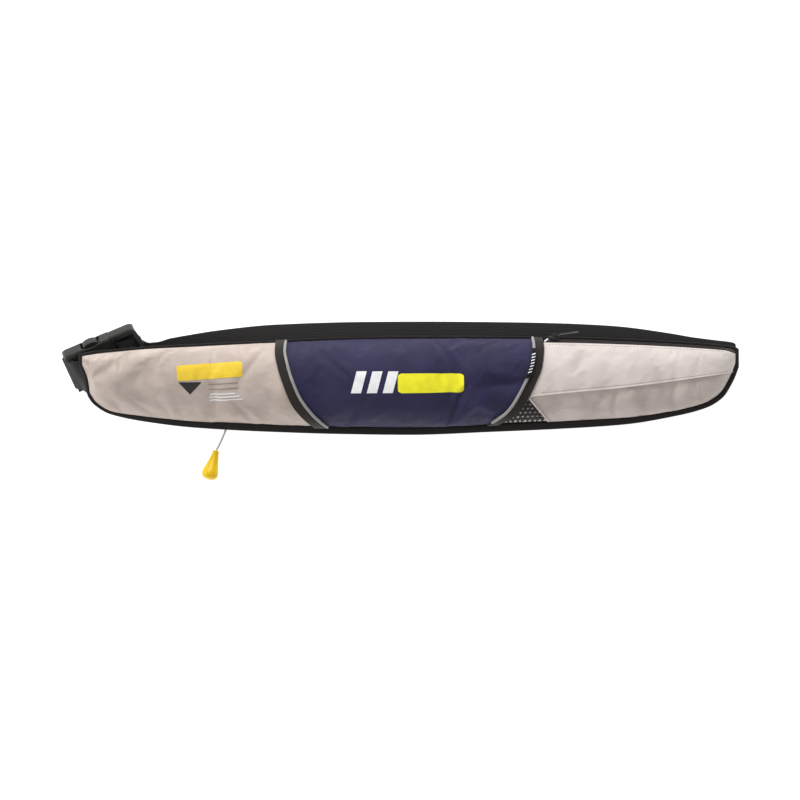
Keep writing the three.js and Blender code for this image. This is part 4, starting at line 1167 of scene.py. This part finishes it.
def bindingPiece():
    def same(inset):
        return {"end": inset, "top": inset, "bottom": lambda u: inset * one(u)}

    top = pouch["backThickness"] + pouch["gap"]
    wall, gap = pouch["bindingWall"], pouch["gap"]

    def part(share):
        return {
            "end": mix(0, pouch["endBorder"], share),
            "top": mix(0, pouch["topBorder"], share),
            "bottom": lambda u: lowerBorder(u) * share,
        }

    profile = [
        (same(0.5), -gap - wall),
        (same(0.12), -gap - wall * 0.7),
        (same(0), 0.4),
        (same(0), top * 0.5),
        (same(0), top),
        (same(0.15), top + wall * 0.65),
        (same(0.7), top + wall),
        (part(0.35), top + wall + 0.25),
        (part(0.7), top + wall + 0.3),
        (part(0.96), top + wall + 0.15),
        (part(1.0), top + wall - 0.3),
        (part(1.0), top),
        (same(wall), top),
        (same(wall), -gap),
        ({"end": 3, "top": 2, "bottom": lambda u: 3.5 * one(u)}, -gap),
        ({"end": 3, "top": 2, "bottom": lambda u: 3.5 * one(u)}, -gap - wall),
    ]
    rings = []
    for inset, above in profile + profile[:1]:
        xs, ys = ringStations(inset)
        ring = np.stack([xs, ys, backHeight(xs, ys) + above], -1)
        rings.append(np.concatenate([ring, ring[:1]]))
    table = np.swapaxes(np.array(rings), 0, 1)
    piece = tablePiece("edgeBinding", table, lengths(table[:, 3]), lengths(table[len(table) // 4]))
    weld(piece)
    smoothPiece(piece, 45)
    finishPiece(piece, "pack", finishes["binding"], ["edge_binding"])


bindingPiece()


def backPiece():
    # a quilted pad: shallow channels sewn along it
    inset = pouch["bindingWall"] + pouch["gap"]
    piece, i, j = flatGrid("backPanel", 260, 40)
    share = np.sin((i * 2 - 1) * np.pi / 2)
    x = share * (halfLength - inset)
    y = mix(lowerEdge(share, inset), upperEdge(share, inset), j)
    # the wearer's side swells a little between sewn lines
    channel = np.abs(np.sin(j * np.pi * 3)) ** 0.5
    ends = np.clip((1 - np.abs(share)) * 30, 0, 1) * np.clip(j * 20, 0, 1) * np.clip((1 - j) * 20, 0, 1)
    z = backHeight(x, y) + 0.9 * (1 - channel * ends)
    setPoints(piece, toRow(np.stack([x, y, z], -1)))
    setUvs(piece, np.stack([x * mm, y * mm], -1))
    thicken(piece, 2, 1)
    smoothPiece(piece, 60)
    finishPiece(piece, "pack", finishes["back"], ["back_panel"])


backPiece()
print("binding and back ready")


# Stitches
def stitchRow(name, places, normals, material, slot, length=2.6, pitch=3.6, radius=0.28):
    half, sunk = length / 2, -0.3 * radius
    stitch = rodModel(
        "stitch",
        [
            (-half, sunk - radius, radius * 0.3),
            (-half * 0.7, sunk, radius),
            (half * 0.7, sunk, radius),
            (half, sunk - radius, radius * 0.3),
        ],
    )
    piece = copyAlong(stitch, name, spotsAlong(places, normals, pitch, length, length))
    return finishPiece(piece, "pack", finishes[material])


tLine = np.linspace(0.01, 0.97, 300)
for side, inner, outer in (("left", leftInner, leftOuter), ("right", rightInner, rightOuter)):
    for k, share in enumerate((0.14, 0.86)):
        u = mix(inner(tLine), outer(tLine), share)
        places = raised(u, tLine, pouch["trimGap"] + 1.25)
        stitchRow(f"{side}StripStitch{k}", places, normalAt(u, tLine), "threadDark", "strip")
uLine = np.linspace(0.4, 0.985, 260)
stitchRow("flapStitch", *landed(uLine, seamShare(uLine) + 0.032, 0.12), "threadPale", "cloth_beige")
uLine = np.linspace(0.42, 0.97, 260)
stitchRow("zipStitch", *landed(uLine, flapTop(uLine) - 0.025, 0.12), "threadPale", "cloth_beige")


def bindingStitches():
    u = np.linspace(-0.985, 0.985, 900)
    x = u * halfLength
    y = lowerEdge(u, lowerBorder(u) * 0.75)
    z = backHeight(x, y) + pouch["backThickness"] + pouch["gap"] + pouch["bindingWall"] + 0.35
    stitchRow(
        "bindingStitch", np.stack([x, y, z], -1), np.tile([0, 0, 1.0], (900, 1)), "threadDark",
        "cloth_black", pitch=4.2, length=3,
    )


bindingStitches()
print("stitches ready")


# Belt webbing and buckle tab
belt = {
    "width": 50,
    "thickness": pouch["beltThickness"],
    # along, height, lean, turn, rise
    "route": [
        (0.9985, 0.4445, 0, -36, 0),
        (0.94, 0.476, 0, -14, 0),
        (0.89, 0.497, 0, -4, 0),
        (0.787, 0.553, 0, 0, 0),
        (0.656, 0.615, 0, 0, 0),
        (0.526, 0.645, 0, 0, 0),
        (0.42, 0.6575, 0, 0, 0),
        (0.25, 0.667, 0, 0, 0),
        (0, 0.671, 0, 0, 0),
        (-0.242, 0.662, 0, 0, 0),
        (-0.36, 0.648, 0, 0, 0),
        (-0.441, 0.634, 0, 1, 0),
        (-0.52, 0.607, 0, 2, 0),
        (-0.603, 0.571, 3, 6, 0.06),
        (-0.684, 0.525, 11, 11, 0.2),
        (-0.735, 0.494, 19, 15, 0.34),
        (-0.768, 0.477, 25.5, 19, 0.44),
        (-0.8, 0.496, 31, 22, 0.54),
        (-0.8214, 0.5495, 36, 23, 0.605),
    ],
    "tail": 17,
    "tabSeat": 0.05,
}
buckle = {
    "length": 82,
    "width": 64,
    "thickness": 14,
    "heading": 23,
    "lean": 43,
    "bar": 2.4,
    "slot": 4.6,
    "female": 54,
    "base": 1.8,
    "left": 9.5,
    "high": 0.1258,
}
heading, lean = math.radians(buckle["heading"]), math.radians(buckle["lean"])
buckleAlong = np.array([math.cos(heading), math.sin(heading), 0])
buckleAcross = np.array(
    [-math.sin(heading) * math.cos(lean), math.cos(heading) * math.cos(lean), math.sin(lean)]
)
buckleOut = np.cross(buckleAlong, buckleAcross)
buckleOrigin = np.array(
    [
        -halfLength - buckle["left"],
        buckle["high"] * height,
        buckle["width"] / 2 * math.sin(lean) + buckle["thickness"] / 2 * math.cos(lean),
    ]
)


def fromBuckle(s, q, r):
    return buckleOrigin + s * buckleAlong + q * buckleAcross + r * buckleOut


wrapRadius = buckle["bar"] + pouch["gap"] + belt["thickness"] / 2
adjusterBar = buckle["female"] + 0.5 + buckle["base"] + buckle["slot"] + buckle["bar"]


def sectionStations(points):
    points = [np.array(p, float) for p in points]
    made = []
    for k, (s, r) in enumerate(points):
        before, after = points[max(0, k - 1)], points[min(len(points) - 1, k + 1)]
        d = (after - before) / np.linalg.norm(after - before)
        through = -(buckleAlong * -d[1] + buckleOut * d[0])
        made.append((fromBuckle(s, 0, r), buckleAcross, through))
    return made


def arcPoints(cs, cr, radius, start, end, steps, loose=0.0):
    angles = np.radians(np.linspace(start, end, steps + 1))
    reach = radius + abs(loose)
    toward = math.copysign(1, loose)
    return [
        (cs + (reach if math.cos(a) * toward > 0 else radius) * math.cos(a), cr + radius * math.sin(a))
        for a in angles
    ]


def resample(stations, step):
    # a smooth run through the stations at an even step
    middles = np.array([s[0] for s in stations])
    wides = np.array([s[1] for s in stations])
    throughs = np.array([s[2] for s in stations])
    chord = np.concatenate([[0], np.cumsum(np.linalg.norm(np.diff(middles, axis=0), axis=1))])

    def hermite(values, d):
        slopes = np.gradient(values, chord, axis=0)
        i = np.clip(np.searchsorted(chord, d, side="right") - 1, 0, len(chord) - 2)
        span = (chord[i + 1] - chord[i])[:, None]
        s = ((d - chord[i]) / span[:, 0])[:, None]
        a, b = values[i], values[i + 1]
        bend = s * s * (3 - 2 * s)
        lead = s * (1 - s) ** 2 * slopes[i] * span
        return a * (1 - bend) + b * bend + lead + s * s * (s - 1) * slopes[i + 1] * span

    d = np.arange(0, chord[-1] + step / 2, step)
    d[-1] = chord[-1]
    m, w, t = hermite(middles, d), hermite(wides, d), hermite(throughs, d)
    w /= np.linalg.norm(w, axis=1, keepdims=True)
    forward = np.gradient(m, axis=0)
    n = np.cross(w, forward)
    n /= np.linalg.norm(n, axis=1, keepdims=True)
    flip = np.sign(np.sum(n * t, axis=1, keepdims=True))
    return d, m, w, n * flip


def bandPiece(
    name, stations, step, width, thickness, material, nodes, tucked=(), cut=(), rounded=0
):
    d, m, w, n = resample(stations, step)
    edge = thickness / 2
    half = width / 2
    across = np.linspace(-half + edge, half - edge, 25)
    turns = np.radians([30, 60, 90, 120, 150])
    profile = [(a, edge) for a in across]
    profile += [(half - edge + edge * math.sin(a), edge * math.cos(a)) for a in turns]
    profile += [(a, -edge) for a in across[::-1]]
    profile += [(-half + edge - edge * math.sin(a), -edge * math.cos(a)) for a in turns]
    size = len(profile)
    across, through = np.array(profile + profile[:1]).T
    # tucked gives how much of the upper selvedge is folded under, at a distance from the end
    fold = np.interp(d[-1] - d, *tucked) if tucked else np.zeros(len(d))
    # cut takes the lower selvedge in at a distance from the start, rounded eases the start's corners
    taken = np.interp(d, *cut) if cut else np.zeros(len(d))
    if rounded:
        short = np.clip(rounded - d, 0, rounded)
        fold = fold + rounded - np.sqrt(rounded**2 - short**2)
    scale = np.where(across > 0, 1 - fold[:, None] / half, 1 - taken[:, None] / half)
    table = m[:, None] + w[:, None] * (across * scale)[..., None] + n[:, None] * through[:, None]
    piece = tablePiece(name, table, d, lengths(np.stack([across, through], -1)))
    weld(piece)
    smoothPiece(piece, 50)
    return finishPiece(piece, "pack", finishes[material], nodes)


def beltStations():
    route = belt["route"]
    made = []
    for k, (along, high, lean, turn, rise) in enumerate(route):
        before, after = route[max(0, k - 1)], route[min(len(route) - 1, k + 1)]
        a, b = math.radians(turn), math.radians(lean)
        wide = np.array([-math.sin(a) * math.cos(b), math.cos(a) * math.cos(b), math.sin(b)])
        direction = np.array(
            [
                (before[0] - after[0]) * halfLength,
                (before[1] - after[1]) * height,
                (before[4] - after[4]) * belt["width"],
            ]
        )
        through = unit(np.cross(direction, wide))
        lifted = rise * belt["width"] + belt["thickness"] / 2
        selvedge = np.array([along * halfLength, high * height, lifted])
        made.append((selvedge - wide * belt["width"] / 2, wide, through))
    end, inner, tail = buckle["length"] - buckle["bar"], adjusterBar, belt["tail"]
    climb = math.degrees(math.asin(2 * wrapRadius / (end - inner)))
    # under the frame's end bar, up and over the inner bar, and back as the tail
    loop = sectionStations(
        [
            (buckle["length"] + 0.7, -wrapRadius - 0.3),
            (end, -wrapRadius),
            *arcPoints(end, 0, wrapRadius, 262, 270 - climb, 2),
            *arcPoints(inner, 0, wrapRadius, 90 - climb, 270, 12, -2.6),
            (inner + tail * 0.3, -wrapRadius - 0.2),
            (inner + tail * 0.55, -wrapRadius - 0.9),
            (inner + tail * 0.8, -wrapRadius - 2.2),
            (inner + tail, -wrapRadius - 3),
        ]
    )
    return made + loop


def tabStations():
    slope = np.array([0.68, 0.73])
    beside = np.array([-slope[1], slope[0]])

    def upward(side, reach):
        p = beside * (wrapRadius - side) + slope * reach
        return (buckle["bar"] + p[0], p[1])

    layers = belt["thickness"] + pouch["gap"]
    outwards = math.degrees(math.atan2(beside[1], beside[0]))
    fold = sectionStations(
        [
            upward(0, 8),
            upward(0, 5),
            *arcPoints(buckle["bar"], 0, wrapRadius, outwards, 360, 14, 2.2),
            (buckle["bar"] + wrapRadius + 2.2, 2.5),
            upward(layers, 7.5),
            upward(layers, 10),
        ]
    )
    lean = math.atan(pouch["twist"])
    drop = pouch["bindingWall"] + 2 * pouch["gap"] + belt["thickness"] / 2 + 1
    sewn = []
    for share in (0.905, 0.935, 0.962):
        x, y = -share * halfLength, belt["tabSeat"] * height
        wide = np.array([0, math.cos(lean), math.sin(lean)])
        sewn.append((np.array([x, y, float(backHeight(x, y)) - drop]), wide, np.array([0, 0, 1.0])))
    return sewn + fold


bandPiece(
    "beltWebbing", beltStations(), 1.5, belt["width"], belt["thickness"], "webbing",
    ["belt_webbing"],
    tucked=([22, 34, 46, 60, 72, 86, 104], [0, 6, 12, 12.5, 8, 3, 0]), rounded=4,
)
bandPiece(
    "buckleTab", tabStations(), 0.7, belt["width"], belt["thickness"], "webbing",
    ["buckle_tab"],
    cut=([0, 26, 34, 44], [12, 10, 5, 4.3]),
)
print("webbing ready")


# Hard pieces from the CAD solids, with their edges eased
def easedNode(
    node, name, body, material, width, segments=2, angle=32, reshape=None, corners=None
):
    source = frame["nodes"][node]
    piece = source.copy()
    piece.data = source.data.copy()
    piece.name = piece.data.name = name
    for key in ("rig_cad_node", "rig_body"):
        if key in piece:
            del piece[key]
    piece.parent = None
    scene.collection.objects.link(piece)
    makeActive(piece)
    bpy.ops.object.mode_set(mode="EDIT")
    bpy.ops.mesh.select_all(action="SELECT")
    bpy.ops.mesh.remove_doubles(threshold=0.000004)
    bpy.ops.mesh.dissolve_limited(angle_limit=math.radians(1))
    bpy.ops.object.mode_set(mode="OBJECT")
    if corners:
        roundCorners(piece, corners)
    if reshape:
        setPoints(piece, reshape(readPoints(piece)))
    bevel = piece.modifiers.new("ease", "BEVEL")
    bevel.width = width * mm
    bevel.segments = segments
    bevel.limit_method = "ANGLE"
    bevel.angle_limit = math.radians(angle)
    bevel.harden_normals = False
    applyModifiers(piece)
    smoothPiece(piece, 35)
    return finishPiece(piece, body, finishes[material], [node])


def inBuckle(points):
    offsets = (points - shift) / mm - buckleOrigin
    return offsets @ buckleAlong, offsets @ buckleAcross, offsets @ buckleOut


def rowFromBuckle(s, q, r):
    offsets = np.outer(s, buckleAlong) + np.outer(q, buckleAcross) + np.outer(r, buckleOut)
    return toRow(buckleOrigin + offsets)


# Rounds the outline's corners at one end: the end is cut into slices, and each drawn in along an arc
def roundCorners(piece, corners):
    at, toward, radius = corners["at"], corners["toward"], corners["radius"]
    makeActive(piece)
    bpy.ops.object.mode_set(mode="EDIT")
    for share in (0.03, 0.1, 0.2, 0.35, 0.6, 1):
        place = toRow(fromBuckle(at + toward * share * radius, 0, 0))
        bpy.ops.mesh.select_all(action="SELECT")
        bpy.ops.mesh.bisect(plane_co=[float(v) for v in place], plane_no=[float(v) for v in buckleAlong])
    bpy.ops.object.mode_set(mode="OBJECT")
    s, q, r = inBuckle(readPoints(piece))
    deep = np.clip(radius - toward * (s - at), 0, radius)
    drawn = radius - np.sqrt(radius**2 - deep**2)
    beside = np.clip((np.abs(q) - buckle["width"] / 2 + radius) / radius, 0, 1)
    setPoints(piece, rowFromBuckle(s, q - np.sign(q) * beside * drawn, r))


# The lower rail is thin beside the tab
def socketShape(points):
    s, q, r = inBuckle(points)
    thin = (s < 8) & (q < -25.7)
    q = np.where(thin, -25.7 + (q + 25.7) * 0.4, q)
    short = 1 - 0.28 * (1 - smoothStep(s, 9, 22))
    return rowFromBuckle(s, np.where(q < -15, -15 + (q + 15) * short, q), np.where(thin, r * 0.5, r))


# Grips that stand out of their windows, and a close joint with the socket
def adjusterShape(points):
    s, q, r = inBuckle(points)
    inner = buckle["width"] / 2 - 2.9
    grip = (s < 44) & (np.abs(q) > inner)
    q = np.where(grip, np.sign(q) * (inner + (np.abs(q) - inner) * np.where(q > 0, 2.3, 1.5)), q)
    # the frame's end runs slantwise
    skew = 0.19 * (32 - np.maximum(q, -10)) * smoothStep(s, buckle["female"] + 9, buckle["length"] - 2)
    s = s + skew
    joint = (s > buckle["female"]) & (s < buckle["female"] + 0.7) & (np.abs(q) > inner - 6)
    return rowFromBuckle(np.where(joint, s - 0.42, s), q, r)


easedNode(
    "buckle_female", "buckleSocket", "pack", "buckle", 0.6, 3, reshape=socketShape,
    corners={"at": 0, "toward": 1, "radius": 5},
)
easedNode(
    "buckle_male", "buckleAdjuster", "pack", "buckle", 0.5, 3, reshape=adjusterShape,
    corners={"at": buckle["length"], "toward": -1, "radius": 5},
)
easedNode("zip_slider", "zipSlider", "pack", "zipMetal", 0.25)
easedNode("zip_puller", "zipPuller", "puller", "zipMetal", 0.2)
easedNode("cord_guide", "cordGuide", "pack", "buckle", 0.4)

# Zip tape and teeth
coverPanel(
    "zipTape", 150, 8, lambda t: np.maximum(0.412, rightSeam(t) + gapShare), one,
    lambda u: flapTop(u) + 2 * seamGap(u), one,
    0, 1, "zipTape", ["zip_tape"], False, towardsEnd,
)
zipRow = {"share": 1 - zipShare * 0.5, "from": 0.4616, "to": 0.965, "pitch": 0.95, "radius": 0.5}


def zipTeeth():
    # each tooth is a bent wire across the tape's middle, one side then the other
    r = zipRow["radius"]
    tooth = rodModel(
        "tooth",
        [
            (-0.5, 0, r * 0.5),
            (-0.3, 0.15, r),
            (0.4, 0.2, r * 0.95),
            (0.95, 0, r * 0.8),
            (1.15, -0.3, r * 0.45),
        ],
    )
    line = np.linspace(zipRow["from"], zipRow["to"], 700)
    share = np.full(700, zipRow["share"])
    normals = normalAt(line, share, False)
    spots = spotsAlong(raised(line, share, 0.35 + r, False), normals, zipRow["pitch"], 0.5, 0.6)
    sides = []
    for k, (place, forward, out) in enumerate(spots):
        across = np.cross(out, forward)
        sides.append((place, across if k % 2 else -across, out))
    piece = copyAlong(tooth, "zipTeeth", sides)
    finishPiece(piece, "pack", finishes["zipMetal"], ["zip_coil"])


zipTeeth()
print("zip ready")

# Pull cord and handle
cord = {
    "diameter": 2.4,
    "route": [
        (-193.5, -27.5, 3.2),
        (-195.6, -32.5, 2.9),
        (-197.7, -38, 2.2),
        (-199.6, -43, 1.65),
        (-201.5, -48, 1.45),
        (-203.7, -53.5, 1.55),
        (-206.1, -59, 2.1),
        (-208.6, -64.3, 3.0),
        (-211.3, -69.6, 3.9),
    ],
    "guide": 2.3,
}
handle = {
    "neck": (-211.7, -70.4, 4.05),
    "heading": 255,
    "length": 33,
    "neckRadius": 3.6,
    "radius": 9.2,
}


def catmullRom(points, per):
    points = [np.array(p, float) for p in points]
    padded = [2 * points[0] - points[1]] + points + [2 * points[-1] - points[-2]]
    made = []
    for k in range(1, len(padded) - 2):
        a, b, c, d = padded[k - 1 : k + 3]
        square, cube = 2 * a - 5 * b + 4 * c - d, 3 * b - a - 3 * c + d
        for s in np.arange(per) / per:
            made.append(0.5 * (2 * b + (c - a) * s + square * s**2 + cube * s**3))
    made.append(points[-1])
    return np.array(made)


def cordPieces():
    route = [np.array(p, float) for p in cord["route"]]
    route[0][2] = float(backHeight(route[0][0], route[0][1])) - pouch["trimGap"] - cord["guide"]
    line = catmullRom(route, 6)
    rope = tubePiece("pullCord", line, cord["diameter"] / 2, 20)
    finishPiece(rope, "pack", finishes["cord"], ["pull_cord"])

    dip = math.asin((handle["radius"] - handle["neckRadius"]) / (0.8 * handle["length"]))
    neck, fat = handle["neckRadius"], handle["radius"]
    # distance down the handle, and radius
    rings = [
        (0, neck * 0.55), (0.01, neck * 0.9), (0.5, neck), (1.4, neck * 1.03), (2, neck * 0.97),
        (3.2, neck * 1.02), (7, mix(neck, fat, 0.16)), (14, mix(neck, fat, 0.45)),
        (19.5, mix(neck, fat, 0.72)), (23, mix(neck, fat, 0.9)), (26.2, fat), (28, fat * 0.985),
        (29.8, fat * 0.9), (31.4, fat * 0.72), (32.4, fat * 0.5), (32.9, fat * 0.25), (33, fat * 0.05),
    ]
    grip = rodModel("pullHandle", [(place, 0, radius) for place, radius in rings], 40)
    away = Vector(
        (
            math.cos(math.radians(handle["heading"])) * math.cos(dip),
            math.sin(math.radians(handle["heading"])) * math.cos(dip),
            math.sin(dip),
        )
    )
    turn = away.to_track_quat("X", "Z").to_matrix().to_4x4()
    grip.data.transform(Matrix.Translation(Vector(toRow(handle["neck"]))) @ turn)
    smooth = grip.modifiers.new("round", "SUBSURF")
    smooth.levels = smooth.render_levels = 1
    applyModifiers(grip)
    smoothPiece(grip, 60)
    finishPiece(grip, "pack", finishes["handle"], ["pull_toggle"])


cordPieces()
print("cord ready")


# The folded bladder fills the cover, out of sight
def bladderPiece():
    piece = easedNode("folded_bladder", "foldedBladder", "pack", "lining", 2.0, 3, 60)
    setUvs(piece, readPoints(piece)[:, :2])


bladderPiece()

# Floor, light, camera
studio = {
    "floor": linear(246, 246, 246),
    "middle": [-10.6, -14.7, 30],
    "across": 872.7,
    "away": 9,
    "key": 39,
    "fill": 3,
    "side": 10,
    "world": 0.48,
    "floorGlow": 0.7,
}


def buildStudio():
    deselectAll()
    bpy.ops.mesh.primitive_plane_add(size=14, location=(0, 0, -0.0006))
    floor = nameActive("floor")
    paint = newMaterial("floorPaint", studio["floor"], 0.9, specular=0.1)
    shader = paint.node_tree.nodes["Principled BSDF"]
    shader.inputs["Emission Color"].default_value = (1, 1, 1, 1)
    shader.inputs["Emission Strength"].default_value = studio["floorGlow"]
    floor.data.materials.append(paint)

    def softbox(name, place, size, power):
        data = bpy.data.lights.new(name, "AREA")
        data.shape = "RECTANGLE"
        data.size, data.size_y = size
        data.energy = power
        light = bpy.data.objects.new(name, data)
        light.location = place
        light.rotation_mode = "QUATERNION"
        light.rotation_quaternion = (-Vector(place)).to_track_quat("-Z", "Y")
        scene.collection.objects.link(light)

    softbox("keyLight", (-0.5, 2.0, 1.35), (1.6, 0.8), studio["key"])
    softbox("sideLight", (-1.9, 0.1, 0.9), (0.8, 0.8), studio["side"])
    softbox("fillLight", (0.6, -1.6, 1.9), (2.2, 1.2), studio["fill"])
    world = bpy.data.worlds.new("studio")
    world.use_nodes = True
    sky = world.node_tree.nodes["Background"]
    sky.inputs["Color"].default_value = (1, 1, 1, 1)
    sky.inputs["Strength"].default_value = studio["world"]
    scene.world = world
    scene.view_settings.view_transform = "Standard"

    data = bpy.data.cameras.new("camera")
    camera = bpy.data.objects.new("camera", data)
    scene.collection.objects.link(camera)
    middle = toRow(studio["middle"])
    camera.location = (middle[0], middle[1], middle[2] + studio["away"])
    camera.rotation_euler = (0, 0, 0)
    data.sensor_width = 36
    data.lens = 36 * studio["away"] / (studio["across"] * mm)
    data.clip_end = 100
    scene.camera = camera


buildStudio()
print("studio ready")
